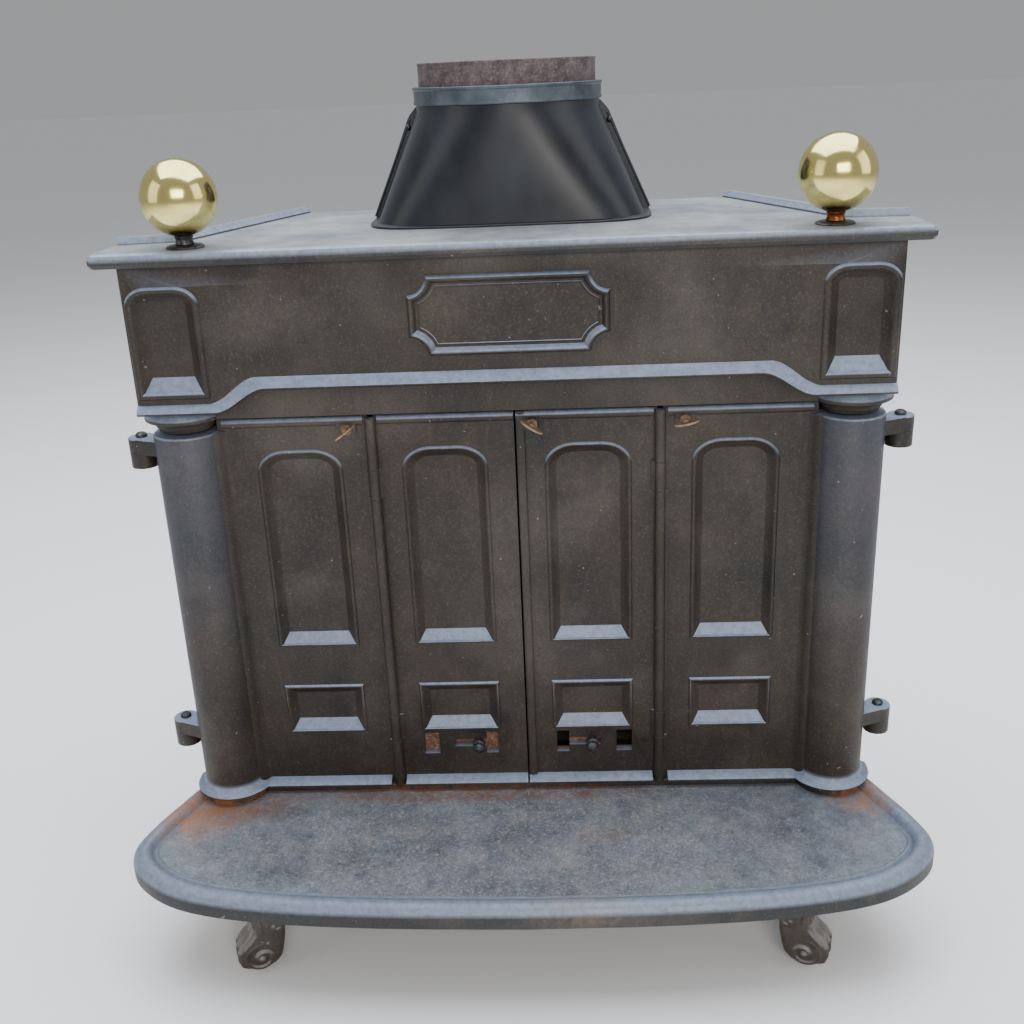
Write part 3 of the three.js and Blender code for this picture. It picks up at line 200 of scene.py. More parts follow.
# %% Outlines
def rounded(points, corners, radius, segments):
    """A flat outline with some of its corners bevelled, in millimetres."""
    bm = bmesh.new()
    verts = [bm.verts.new(p) for p in points]
    bm.faces.new(verts)
    bmesh.ops.bevel(
        bm, geom=[verts[i] for i in corners], offset=radius * MM, offset_type="OFFSET",
        segments=segments, profile=0.5, affect="VERTICES", material=-1,
    )
    face = max(bm.faces, key=lambda f: f.calc_area())
    outline = [loop.vert.co.copy() for loop in face.loops]
    bm.free()
    return outline


def upright_box(x0, x1, z0, z1, y):
    return [at(x0, y, z0), at(x1, y, z0), at(x1, y, z1), at(x0, y, z1)]


def arch(cx, half, z0, z1, shoulder, y):
    """A panel with a straight foot and two wide, slightly flattened shoulders."""
    tall = z1 + 0.2 * shoulder
    outline = rounded(upright_box(cx - half, cx + half, z0, tall, y), (2, 3), shoulder, 12)
    spring = at(0, 0, tall - shoulder).z
    for p in outline:
        if p.z > spring:
            p.z = spring + (p.z - spring) * 0.8
    return outline


print("an arch has", len(arch(0, 49, 336, 582, 34, FACE)), "corners")

# %% Lofts, turnings and reliefs
def edge_loop(bm, ring):
    verts = [bm.verts.new(p) for p in ring]
    return [bm.edges.new((verts[i - 1], verts[i])) for i in range(len(verts))]


def loft(bm, rings, caps=True):
    """Outlines with one number of corners each, bridged and closed."""
    loops = [edge_loop(bm, ring) for ring in rings]
    for near, far in zip(loops, loops[1:]):
        bmesh.ops.bridge_loops(bm, edges=near + far)
    if caps:
        bmesh.ops.edgeloop_fill(bm, edges=loops[0])
        bmesh.ops.edgeloop_fill(bm, edges=loops[-1])
    return loops


def prism(bm, ring, way):
    """A ring pushed along a vector in millimetres."""
    step = Vector(way) * MM
    return loft(bm, [ring, [p + step for p in ring]])


def block(bm, s, x0, x1, y0, y1, z, tall):
    """An upright block between two widths and two depths, on side s."""
    corners = ((x0, y0), (x1, y0), (x1, y1), (x0, y1))
    prism(bm, [at(s * x, y, z) for x, y in corners], (0, 0, tall))


def spun(bm, profile, centre, axis="Z", turn=2 * pi, steps=64):
    """A profile of (radius, height) turned about an axis through centre."""
    start = []
    for r, h in profile:
        offset = {"Z": (r, 0, h), "Y": (r, h, 0)}[axis]
        start.append(bm.verts.new(centre + Vector(offset) * MM))
    line = [bm.edges.new(pair) for pair in zip(start, start[1:])]
    whole = abs(turn) > 6.28
    bmesh.ops.spin(
        bm, geom=start + line, cent=centre, axis={"Z": (0, 0, 1), "Y": (0, 1, 0)}[axis],
        dvec=(0, 0, 0), angle=turn, steps=steps, use_merge=whole, use_duplicate=False,
    )
    bmesh.ops.remove_doubles(bm, verts=bm.verts, dist=0.002 * MM)


def relief(bm, face, steps):
    """Insets a face: (inwards, outwards, lift of its foot) for each step."""
    for inwards, out, lift in steps:
        bmesh.ops.inset_individual(
            bm, faces=[face], thickness=inwards * MM, depth=out * MM, use_even_offset=True
        )
        if lift:
            low = min(v.co.z for v in face.verts)
            foot = [v for v in face.verts if v.co.z < low + 0.2 * MM]
            bmesh.ops.translate(bm, verts=foot, vec=(0, 0, lift * MM))
    for edge in face.edges:
        edge.smooth = False


def front_face(bm, outline):
    """A new face on an outline, turned to the front."""
    face = bm.faces.new([bm.verts.new(p) for p in outline])
    face.normal_update()
    if face.normal.y > 0:
        face.normal_flip()
    return face


def sheet_between(bm, edges, normal):
    bmesh.ops.triangle_fill(bm, edges=edges, use_beauty=True, use_dissolve=False, normal=normal)


# %% Handing a piece over
def soften(obj, width, segments=2, angle=30, weld=False):
    """Worn edges: a small bevel wherever two faces meet at an angle."""
    if weld:
        merge = obj.modifiers.new("merge", "WELD")
        merge.merge_threshold = 0.01 * MM
    worn = obj.modifiers.new("worn_edges", "BEVEL")
    worn.width = width * MM
    worn.segments = segments
    worn.limit_method = "ANGLE"
    worn.angle_limit = radians(angle)
    worn.harden_normals = False
    worn.use_clamp_overlap = True
    flat = obj.modifiers.new("flat_faces", "WEIGHTED_NORMAL")
    flat.mode = "FACE_AREA"
    flat.weight = 100


def piece(name, bm, body, material, slot, stands_for=(), edge=0.0, angle=30, segments=2):
    bmesh.ops.remove_doubles(bm, verts=bm.verts, dist=0.002 * MM)
    bmesh.ops.recalc_face_normals(bm, faces=bm.faces)
    for face in bm.faces:
        face.smooth = True
    if not edge:
        for e in bm.edges:
            if len(e.link_faces) != 2 or e.calc_face_angle() > radians(angle):
                e.smooth = False
    mesh = bpy.data.meshes.new(name)
    bm.to_mesh(mesh)
    bm.free()
    obj = bpy.data.objects.new(name, mesh)
    bpy.context.scene.collection.objects.link(obj)
    mesh.materials.append(material)
    if edge:
        soften(obj, edge, segments, angle)
    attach(obj, body)
    if stands_for:
        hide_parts(*stands_for)
    print(name, len(mesh.polygons), "faces")
    return obj


BODY_OF = {n: b for b, names in frame["record"]["behaviour"]["bodies"].items() for n in names}
SIDES = (("left", -1), ("right", 1))

# %% [markdown]
# ## Mixing finishes
# All finishes are node materials on Object coordinates, in metres, so a
# pattern's scale is one over its real size. `shade` adds one node with its
# settings and links, and `srgb` turns a paint chart's hex value into the
# linear colour that Blender works in.

# %% Colour and nodes
def srgb(code):
    parts = [int(code[i:i + 2], 16) / 255 for i in (1, 3, 5)]
    linear = [c / 12.92 if c <= 0.04045 else ((c + 0.055) / 1.055) ** 2.4 for c in parts]
    return (*linear, 1.0)


def shade(tree, kind, inputs=None, **settings):
    """Adds a node. inputs maps a socket to a value, or to another node's socket."""
    made = tree.nodes.new("ShaderNode" + kind)
    for key, value in settings.items():
        setattr(made, key, value)
    for socket, value in (inputs or {}).items():
        if isinstance(value, bpy.types.NodeSocket):
            tree.links.new(value, made.inputs[socket])
        else:
            made.inputs[socket].default_value = value
    return made


def per(size_mm):
    """A texture scale whose features are about this many millimetres."""
    return 1 / (size_mm * MM)


def start(name, roughness, metallic):
    material = bpy.data.materials.new(name)
    material.use_nodes = True
    tree = material.node_tree
    tree.nodes.clear()
    surface = shade(tree, "BsdfPrincipled", {"Roughness": roughness, "Metallic": metallic})
    shade(tree, "OutputMaterial", {"Surface": surface.outputs["BSDF"]})
    where = shade(tree, "TexCoord").outputs["Object"]
    return material, tree, surface, where


def feed(tree, surface, sockets):
    """Links a finished colour, roughness or normal to the shader."""
    for socket, source in sockets.items():
        tree.links.new(source, surface.inputs[socket])


print("white is", [round(c, 3) for c in srgb("#ffffff")])

# %% [markdown]
# `remap` and `ramp` stretch a value, `cloud` is noise of a given size, `coat`
# lays one colour over another, and `bump` turns a height into relief.

# %% Values, noise and coats
def remap(tree, value, low, high, new_low, new_high):
    """Carries the range low to high over to new_low to new_high."""
    span = {"Value": value, "From Min": low, "From Max": high, "To Min": new_low, "To Max": new_high}
    return shade(tree, "MapRange", span, clamp=True).outputs["Result"]


def ramp(tree, factor, low, high):
    """0 at low, 1 at high, and an even slope between. low may be above high."""
    return remap(tree, factor, low, high, 0.0, 1.0)


def mix(tree, factor, a, b):
    return shade(tree, "Mix", {0: factor, 6: a, 7: b}, data_type="RGBA").outputs[2]


def times(tree, a, b):
    return shade(tree, "Math", {0: a, 1: b}, operation="MULTIPLY").outputs[0]


def coat(tree, colour, mask, strength, code):
    """The colour with another one over it, where the mask is and as strongly as told."""
    return mix(tree, times(tree, mask, strength), colour, srgb(code))


def z_of(tree, vector):
    return shade(tree, "SeparateXYZ", {"Vector": vector}).outputs["Z"]


def cloud(tree, where, size_mm, detail=4.0, rough=0.55, stretch=(1, 1, 1), shift=(0, 0, 0)):
    """Noise with features of one size in millimetres."""
    if stretch != (1, 1, 1) or shift != (0, 0, 0):
        moved = {"Vector": where, "Location": shift, "Scale": stretch}
        where = shade(tree, "Mapping", moved).outputs["Vector"]
    noise = {"Vector": where, "Scale": per(size_mm), "Detail": detail, "Roughness": rough}
    return shade(tree, "TexNoise", noise).outputs["Fac"]


def bump(tree, height, strength, deep_mm, behind=None):
    """The normal of a relief, laid over the relief behind it."""
    inputs = {"Height": height, "Strength": strength, "Distance": deep_mm * MM}
    if behind is not None:
        inputs["Normal"] = behind
    return shade(tree, "Bump", inputs).outputs["Normal"]


print("a 5 mm pattern has the scale", per(5))

# %% [markdown]
# ## Weathered grey iron
# The castings are grey iron from a sand mould, once rubbed with black stove
# polish. That gives a fine sandy skin and a brown-black ground where the polish
# has gone and rust begins. Everything that looks up gets a grey, slightly blue
# film: partly soot wiped off and dust settled, partly a painted sheen of the
# bright sky that such faces reflect. The film is painted by the direction a
# face looks in, broken up by noise.

# %% Cast iron
def weathered_iron(
    name, ground="#1a1714", brown="#392e25", olive="#322f22", dust_and_sheen="#8a97ae",
    dust_and_sheen_strength=0.85, rust=0.0, roughness=0.5, blotch_mm=90, sand_mm=1.4,
):
    material, tree, surface, where = start(name, roughness, 0.2)
    # large stains: brown where the polish has gone, olive where it is thin
    stains = cloud(tree, where, blotch_mm, 7, 0.66)
    tone = cloud(tree, where, blotch_mm * 1.7, 6, 0.62, shift=(3.1, 1.7, 0.4))
    colour = mix(tree, ramp(tree, stains, 0.36, 0.68), srgb(ground), srgb(brown))
    colour = coat(tree, colour, ramp(tree, tone, 0.48, 0.72), 0.6, olive)
    # worn places, where the bare grey iron shines through
    bare = cloud(tree, where, 190, 5, 0.6, shift=(0.9, 5.2, 2.6))
    colour = coat(tree, colour, ramp(tree, bare, 0.50, 0.70), 0.42, "#5f574f")
    # drips: noise stretched in height
    drips = cloud(tree, where, 9, 6, 0.66, (1, 1, 0.16))
    colour = coat(tree, colour, ramp(tree, drips, 0.54, 0.76), 0.22, "#5b4936")
    # the grain of a sand casting: pale dust on its grains, dark pits between
    grain = cloud(tree, where, 2.6, 5, 0.8)
    colour = coat(tree, colour, ramp(tree, grain, 0.54, 0.74), 0.42, "#7a7167")
    colour = coat(tree, colour, ramp(tree, grain, 0.46, 0.30), 0.6, "#0b0a09")
    crumbs = cloud(tree, where, 5.5, 2, 0.4, shift=(1.9, 0.3, 4.4))
    colour = coat(tree, colour, ramp(tree, crumbs, 0.75, 0.77), 0.5, "#a39b8c")
    if rust:
        patches = cloud(tree, where, 38, 8, 0.68, shift=(7.3, 2.2, 5.1))
        colour = coat(tree, colour, ramp(tree, patches, 0.60, 0.72), rust, "#7a4a2a")
    # the grey-blue film on faces that look up: settled dust, and a painted sheen of the sky they face
    up = z_of(tree, shade(tree, "NewGeometry").outputs["Normal"])
    broken = remap(tree, cloud(tree, where, 7, 7, 0.75), 0.25, 0.6, 0.5, 1.0)
    dust_and_sheen_here = times(tree, ramp(tree, up, 0.08, 0.40), broken)
    colour = coat(tree, colour, dust_and_sheen_here, dust_and_sheen_strength, dust_and_sheen)
    gloss = remap(tree, stains, 0.3, 0.7, roughness - 0.08, roughness + 0.1)
    # relief: sand grains over slow waves of the mould
    sand = bump(tree, cloud(tree, where, sand_mm, 3, 0.65), 0.34, 0.35)
    waves = bump(tree, cloud(tree, where, 24, 3, 0.5), 0.4, 0.9, sand)
    feed(tree, surface, {"Base Color": colour, "Roughness": gloss, "Normal": waves})
    return material, tree, surface, where, colour, up


IRON = weathered_iron("weathered_grey_iron")[0]
IRON_LEG = weathered_iron(
    "grey_iron_legs", ground="#241f1c", brown="#4b4036", olive="#403a33", dust_and_sheen="#7d7a76",
    rust=0.3, roughness=0.46, blotch_mm=24,
)[0]
print(len(IRON.node_tree.nodes), "nodes in the iron")

# %% [markdown]
# ### Dust on the two plates
# Dust settles on flat iron. On the top plate it is brown-grey and mottled, and
# the rounded front edge keeps the blue-grey film of faces that look up, partly
# dust and partly a painted sheen of the sky. Years of ash have been walked into
# the hearth plate: its field is gritty, pale in the middle, and orange-brown with
# rust in the corners beside the columns and along the doors. The patches are
# laid out by distance from points on the plate.

# %% Iron of the top plate
IRON_TOP, tree, surface, where, colour, up = weathered_iron(
    "grey_iron_top_plate", ground="#26282b", brown="#35332f", olive="#3b3a34",
    dust_and_sheen="#8d99ac", dust_and_sheen_strength=0.9, roughness=0.46,
)
level = ramp(tree, up, 0.93, 0.995)
soot = ramp(tree, cloud(tree, where, 70, 8, 0.68), 0.36, 0.64)
mottled = mix(tree, soot, srgb("#62656a"), srgb("#9a9891"))
colour = mix(tree, times(tree, level, 0.8), colour, mottled)
speckle = ramp(tree, cloud(tree, where, 4, 8, 0.8), 0.52, 0.70)
colour = coat(tree, colour, times(tree, level, speckle), 0.5, "#a9a69e")
feed(tree, surface, {"Base Color": colour})
print(len(tree.nodes), "nodes in the top plate")

# %% Iron of the hearth
def spot(tree, where, centre, reach, stretch=(1, 1, 1)):
    """1 at a point of the plate, fading to 0 at its reach in millimetres."""
    back_by = [-c * wide for c, wide in zip(at(*centre), stretch)]
    moved = shade(tree, "Mapping", {"Vector": where, "Location": back_by, "Scale": stretch})
    far = shade(tree, "VectorMath", {0: moved.outputs["Vector"]}, operation="LENGTH")
    return remap(tree, far.outputs["Value"], 0.0, reach * MM, 1.0, 0.0)


IRON_HEARTH, tree, surface, where, colour, up = weathered_iron(
    "grey_iron_hearth", ground="#1e2023", brown="#262524", olive="#2b2b2a", dust_and_sheen="#808b9c",
    dust_and_sheen_strength=0.9, roughness=0.47, blotch_mm=50, sand_mm=2.0,
)
# the field lies lower than the rim and looks straight up
low = ramp(tree, z_of(tree, where), at(0, 0, FIELD + 3.5).z, at(0, 0, FIELD + 1).z)
on_field = times(tree, low, ramp(tree, up, 0.8, 0.97))
# it is darker than the rim, and blotched
worn = ramp(tree, cloud(tree, where, 55, 12, 0.88), 0.40, 0.62)
blotched = mix(tree, worn, srgb("#454a51"), srgb("#858b95"))
colour = mix(tree, times(tree, on_field, 0.75), colour, blotched)
pits = ramp(tree, cloud(tree, where, 3, 7, 0.8), 0.50, 0.34)
colour = coat(tree, colour, times(tree, on_field, pits), 0.6, "#17181a")
# ash and grit lie thickest in the middle
ash_bed = spot(tree, where, (-30, -60, FIELD), 430, (0.8, 1.7, 1))
dusty = times(tree, on_field, ramp(tree, ash_bed, 0.0, 0.6))
ash = ramp(tree, cloud(tree, where, 48, 12, 0.9, shift=(0.7, 2.1, 0)), 0.48, 0.62)
colour = coat(tree, colour, times(tree, dusty, ash), 0.6, "#96948f")
grit = ramp(tree, cloud(tree, where, 3.2, 9, 0.9), 0.53, 0.62)
colour = coat(tree, colour, times(tree, dusty, grit), 0.85, "#d2cec6")
print(len(tree.nodes), "nodes before the rust")

# %% Rust on the hearth
RUST_SPOTS = [  # centre, reach, stretch, strength, colour
    ((-404, 34, 140), 85, (1, 0.8, 1), 0.95, "#a2693c"),
    ((-345, 12, 136), 55, (0.7, 1.3, 1), 0.6, "#7d543a"),
    ((404, 34, 140), 60, (1, 0.9, 1), 0.8, "#9b6a42"),
    ((-70, 34, 137), 130, (0.5, 5.5, 1), 0.75, "#7f4f33"),
    ((90, -52, 136), 34, (0.9, 1.5, 1), 0.35, "#9a7a52"),
    ((60, -178, 140), 60, (0.8, 2.4, 1), 0.3, "#8d7a66"),
]
ragged = ramp(tree, cloud(tree, where, 13, 9, 0.75), 0.38, 0.60)
for centre, reach, stretch, strength, tint in RUST_SPOTS:
    near = ramp(tree, spot(tree, where, centre, reach, stretch), 0.0, 0.5)
    colour = coat(tree, colour, times(tree, near, ragged), strength, tint)
feed(tree, surface, {"Base Color": colour})
print(len(tree.nodes), "nodes in the hearth")

# %% [markdown]
# ## Sheet steel, strip and rust
# The hood is sheet steel with a smooth black heat-proof finish, so it is the
# glossiest black on the stove, with dust on it. The clamp band is bare strip,
# blue-grey from heat. The spigot and the air slides are mild steel that has
# rusted to a matt pinkish brown with darker blotches.

# %% Hood and band
HOOD_STEEL, tree, surface, where = start("black_heatproof_sheet", 0.34, 0.0)
dust = cloud(tree, where, 2.2, 4, 0.7)
smear = cloud(tree, where, 55, 6, 0.62, (1, 1, 0.6))
colour = mix(tree, ramp(tree, smear, 0.35, 0.75), srgb("#0c0f15"), srgb("#1d232d"))
feed(tree, surface, {
    "Base Color": coat(tree, colour, ramp(tree, dust, 0.66, 0.76), 0.4, "#6a6d72"),
    "Roughness": remap(tree, smear, 0.0, 1.0, 0.22, 0.44),
    "Normal": bump(tree, cloud(tree, where, 80, 2, 0.4), 0.25, 1.2),
})

BAND_STEEL, tree, surface, where = start("heat_blued_strip", 0.42, 0.55)
blue = ramp(tree, cloud(tree, where, 30, 6, 0.65), 0.35, 0.7)
scale = ramp(tree, cloud(tree, where, 4, 5, 0.7), 0.6, 0.75)
colour = mix(tree, blue, srgb("#3c444d"), srgb("#5c646c"))
feed(tree, surface, {
    "Base Color": coat(tree, colour, scale, 0.5, "#8f918f"),
    "Normal": bump(tree, cloud(tree, where, 2.0, 4, 0.7), 0.2, 0.3),
})
print(HOOD_STEEL.name, "and", BAND_STEEL.name)

# %% Rusted mild steel
def rusted(name, base, dark, light, blotch_mm, roughness=0.72):
    material, tree, surface, where = start(name, roughness, 0.1)
    patches = cloud(tree, where, blotch_mm, 8, 0.66)
    flakes = cloud(tree, where, 2.4, 6, 0.75)
    colour = mix(tree, ramp(tree, patches, 0.38, 0.66), srgb(dark), srgb(base))
    colour = coat(tree, colour, ramp(tree, flakes, 0.52, 0.68), 0.6, light)
    colour = coat(tree, colour, ramp(tree, flakes, 0.42, 0.30), 0.7, "#221a18")
    feed(tree, surface, {"Base Color": colour, "Normal": bump(tree, flakes, 0.5, 0.4)})
    return material


RUSTED_STEEL = rusted("rusted_mild_steel", "#66585a", "#3e3436", "#968789", 18)
SLIDE_RUST = rusted("rusted_slide", "#8f6650", "#553a2f", "#c9a28b", 8)
LATCH_IRON = rusted("rusty_latch", "#a78c70", "#6f5a48", "#dcc19c", 7, 0.5)
print("rusts:", RUSTED_STEEL.name, SLIDE_RUST.name, LATCH_IRON.name)

# %% [markdown]
# ## Brass and plain steel
# The balls are polished brass, pale and greenish, with a faint haze, and
# browner and darker towards the bottom, near the stem. Small steel parts are
# dark and dull from heat, and the right-hand stem is brass browned by it.

# %% Brass
BRASS, tree, surface, where = start("polished_brass", 0.15, 1.0)
haze = cloud(tree, where, 22, 5, 0.6)
# each ball turns browner and darker towards its bottom, by height alone
low_side = ramp(tree, z_of(tree, where), at(0, 0, 837).z, at(0, 0, 823).z)
colour = mix(tree, ramp(tree, haze, 0.40, 0.72), srgb("#efe092"), srgb("#d8c678"))
feed(tree, surface, {
    "Base Color": coat(tree, colour, low_side, 0.75, "#7d6a35"),
    "Roughness": remap(tree, haze, 0.3, 0.75, 0.09, 0.22),
    "Normal": bump(tree, cloud(tree, where, 7, 3, 0.5), 0.05, 0.2),
})
print(len(tree.nodes), "nodes in the brass")

# %% Steel and browned brass
def dull_metal(name, base, dark, roughness, metallic=0.75):
    material, tree, surface, where = start(name, roughness, metallic)
    wear = ramp(tree, cloud(tree, where, 6, 6, 0.65), 0.38, 0.66)
    feed(tree, surface, {
        "Base Color": mix(tree, wear, srgb(dark), srgb(base)),
        "Normal": bump(tree, cloud(tree, where, 1.6, 3, 0.6), 0.2, 0.2),
    })
    return material


BARE_STEEL = dull_metal("heat_darkened_steel", "#5c5f62", "#2e2c2b", 0.42)
BROWNED_STEM = dull_metal("browned_brass", "#9a5c35", "#5a3018", 0.34, 0.9)
SOOTY_IRON = weathered_iron(
    "sooty_firebox_iron", ground="#141211", brown="#2a221c", olive="#26221c", dust_and_sheen="#55504a",
    dust_and_sheen_strength=0.5, roughness=0.72, blotch_mm=60,
)[0]
print(len(bpy.data.materials), "finishes")

# %% [markdown]
# ## The hearth plate
# The plate is one casting with a rounded rim that runs round a sunken field.
# Its outline is a smooth curve through ten points of one half. The rim is not
# drawn: it comes from insetting the top face in small steps, up over the roll,
# along the crown and down to the field.

# %% Outline of the plate
EDGE_POINTS = [
    (0, -190), (160, -186), (290, -175), (382, -154), (437, -117),
    (459, -75), (450, -28), (430, 22), (414, 62), (406, 84),
]
TAIL = (276, 316)
PLATE_FOOT = 117  # its underside
ROLL_WIDE, ROLL_HIGH = 14, 13  # quarter round on the rim's outer side


def smooth_line(points, steps):
    """Catmull-Rom through the points, evenly in their number."""
    line = []
    last = len(points) - 1
    for i in range(steps + 1):
        place = i / steps * last
        k = min(int(place), last - 1)
        t = place - k
        a, b, c, d = (Vector(points[min(max(j, 0), last)]) for j in (k - 1, k, k + 1, k + 2))
        line.append(
            b + (c - a) * t / 2 + (2 * a - 5 * b + 4 * c - d) * t * t / 2
            + (3 * b - a - 3 * c + d) * t ** 3 / 2
        )
    return line


half = [Vector(EDGE_POINTS[0])]
for p in smooth_line(EDGE_POINTS, 120) + [Vector(TAIL)]:
    if (p - half[-1]).length > 6:
        half.append(p)
whole = half + [Vector((-p.x, p.y)) for p in reversed(half[1:])]
print("outline of", len(whole), "points")

# %% Plate, rim and field
bm = bmesh.new()
heights = (PLATE_FOOT, PLATE_FOOT + 4, RIM - ROLL_HIGH)
loops = loft(bm, [[at(p.x, p.y, z) for p in whole] for z in heights], caps=False)
bmesh.ops.edgeloop_fill(bm, edges=loops[0])
bmesh.ops.edgeloop_fill(bm, edges=loops[-1])
bmesh.ops.recalc_face_normals(bm, faces=bm.faces)
bm.faces.ensure_lookup_table()
top_face = next(f for f in bm.faces if f.normal.z > 0.9)
under_face = next(f for f in bm.faces if f.normal.z < -0.9)
roll = []
for a in range(15, 91, 15):
    last, now = radians(a - 15), radians(a)
    roll.append((ROLL_WIDE * (cos(last) - cos(now)), ROLL_HIGH * (sin(now) - sin(last)), 0))
# over the crown, down into a narrow groove, and over a low bead to the field
hollow = [
    (2.5, -0.3, 0), (2.6, -1.2, 0), (2.2, -2.4, 0), (1.4, -2.4, 0), (0.9, -1.3, 0),
    (1.2, 0.4, 0), (1.4, 1.5, 0), (1.5, 0.3, 0), (1.4, -1.0, 0), (0.9, -0.6, 0),
]
relief(bm, top_face, roll + hollow)
relief(bm, under_face, [(13, -0.01, 0), (1, -10, 0)])
print("the field lies at", round((top_face.calc_center_median().z - FLOOR) / MM, 2), "mm")

# %% Raised bed under the firebox, ribs and leg bosses
bed = [(392, 92)]
for i in range(25):
    t = pi * i / 24
    x, y = COLUMN_X + 42 * cos(t), COLUMN_Y - 42 * sin(t)
    if y < FACE + 2 or x > COLUMN_X:
        bed.append((x, y))
bed.append((326, FACE - 6))
bed += [(-x, y) for x, y in reversed(bed)] + [(-262, 302), (262, 302)]
prism(bm, [at(x, y, FIELD - 2) for x, y in bed], (0, 0, RIM - FIELD + 2))
for x in (-150, 0, 150):
    block(bm, 1, x - 3, x + 3, -170, 298, PLATE_FOOT + 2, 10)
LEGS = [
    ("front_left", -303, -100), ("front_right", 303, -100),
    ("back_left", -232, 262), ("back_right", 232, 262),
]
boss = [(0, PLATE_FOOT), (28.5, PLATE_FOOT), (30, 118.5), (30, 129), (0, 129)]
for _, x, y in LEGS:
    spun(bm, boss, at(x, y, 0), steps=40)
piece("hearth_casting", bm, "stove_body", IRON_HEARTH, "cast_iron", ["hearth_plate"], angle=34)

# %% [markdown]
# ## The frieze
# One long casting closes the stove above the doors. Its face carries a blank
# plaque, an arched panel at each end and a moulding that climbs over the doors
# in an S. The face is filled between those outlines. Each arched panel is then
# cut with a relief, and the plaque, whose corners are scooped out, is lofted
# from outlines that keep the scoops' centres while they shrink.

# %% The line of the moulding
FRIEZE_Y = 12
FRIEZE_END = 403
BAND_LOW, BAND_RISE, BAND_IN, BAND_OUT = 637, 25, 262, 318


def ease(t):
    c = min(max(t, 0), 1)
    return c * c * (3 - 2 * c)


def band_low(x):
    return BAND_LOW + BAND_RISE * (1 - ease((abs(x) - BAND_IN) / (BAND_OUT - BAND_IN)))


def band_high(x):
    climb = ease((abs(x) - BAND_IN - 9) / (BAND_OUT - BAND_IN))
    return BAND_LOW + 12 + (BAND_RISE + 1.5) * (1 - climb)


outwards = [0, 130, 240] + [250 + 2.5 * i for i in range(36)] + [350, 375, FRIEZE_END]
across = [-x for x in reversed(outwards[1:])] + outwards
print("the moulding has", len(across), "stations")

# %% The outline of the plaque
PLAQUE_HALF, PLAQUE_HIGH, PLAQUE_Z, SCOOP_R = 105, 42, 734, 20


def scooped(inset, y, steps=7):
    """A box with hollow round corners, moved inwards by a number of millimetres."""
    ring = []
    r = SCOOP_R + inset
    a0 = asin(inset / r)
    for sx, sz, way in ((-1, -1, 1), (1, -1, -1), (1, 1, 1), (-1, 1, -1)):
        for i in range(steps + 1):
            a = a0 + (pi / 2 - 2 * a0) * i / steps
            a = pi / 2 - a if way > 0 else a
            x, z = PLAQUE_HALF - r * cos(a), PLAQUE_HIGH - r * sin(a)
            ring.append(at(sx * x, y, PLAQUE_Z + sz * z))
    return ring


print("the plaque has", len(scooped(0, FRIEZE_Y)), "corners")


# %% Face with its panels
FRIEZE_HEAD = 794.7  # just under the top plate
PILASTER_STEPS = [
    (0.7, 2.6, 0), (1.2, 1.8, 0), (1.8, 0.9, 0), (2.0, -0.2, 0),
    (2.0, -1.3, 0), (1.6, -2.6, 0), (8.0, -6.4, 6.5),
]
PLAQUE_STEPS = [
    (0, 0), (0.6, -2.6), (1.5, -4.4), (2.8, -5.3), (4.2, -5.1), (5.6, -3.9), (6.8, -1.9),
    (7.8, 0.2), (8.6, 1.2), (10.6, 1.4), (11.2, 0.8), (12.2, 0.8), (12.9, 1.5),
]
bm = bmesh.new()
outline = [at(x, FRIEZE_Y, band_low(x)) for x in across]
outline += [at(FRIEZE_END, FRIEZE_Y, FRIEZE_HEAD), at(-FRIEZE_END, FRIEZE_Y, FRIEZE_HEAD)]
border = edge_loop(bm, outline)
inner = []
for _, s in SIDES:
    face = front_face(bm, arch(s * 361, 40, 653, 775, 26, FRIEZE_Y))
    inner += list(face.edges)
    relief(bm, face, PILASTER_STEPS)
rings = [[bm.verts.new(p) for p in scooped(inset, FRIEZE_Y + out)] for inset, out in PLAQUE_STEPS]
for near, far in zip(rings, rings[1:]):
    for i in range(len(near)):
        bm.faces.new((near[i - 1], near[i], far[i], far[i - 1]))
bm.faces.new(rings[-1])
inner += [bm.edges.get((rings[0][i - 1], rings[0][i])) for i in range(len(rings[0]))]
sheet_between(bm, border + inner, (0, -1, 0))
back = edge_loop(bm, [p + Vector((0, 9 * MM, 0)) for p in outline])
bmesh.ops.bridge_loops(bm, edges=border + back)
bmesh.ops.edgeloop_fill(bm, edges=back)
print("face:", len(bm.faces), "faces")

# %% Moulding, soffit and lintel
def band_section(x):
    low, high = band_low(x), band_high(x)
    rise = high - low
    section = (
        (15, low), (6.8, low), (5, low + 0.3), (3.9, low + 1.3), (3.7, low + 2.6), (4.4, low + 3.8),
        (FRIEZE_Y - 2.6, high - 0.16 * rise), (FRIEZE_Y - 1.4, high - 1.0),
        (FRIEZE_Y - 0.4, high), (15, high),
    )
    return [at(x, y, z) for y, z in section]


loft(bm, [band_section(x) for x in across])
LINTEL_END = 328
middle = [x for x in across if abs(x) <= LINTEL_END]
soffit = ((14, 1), (50, 1), (50, 8), (14, 8))
loft(bm, [[at(x, y, band_low(x) + z) for y, z in soffit] for x in middle])
lintel = [at(x, 38, band_low(x) + 4) for x in middle]
lintel += [at(LINTEL_END, 38, 623), at(-LINTEL_END, 38, 623)]
prism(bm, lintel, (0, 12, 0))

# %% Ends: return, floor of the pilaster and capital
def half_turned(bm, profile, x, y, back):
    """Half a turning that faces forward, with straight sides to its back."""
    made = set(bm.edges)
    spun(bm, profile, at(x, y, 0), turn=-pi, steps=40)
    open_edges = [e for e in bm.edges if e not in made and e.is_boundary]
    pushed = bmesh.ops.extrude_edge_only(bm, edges=open_edges)["geom"]
    drawn = [v for v in pushed if isinstance(v, bmesh.types.BMVert)]
    bmesh.ops.translate(bm, verts=drawn, vec=(0, (back - y) * MM, 0))


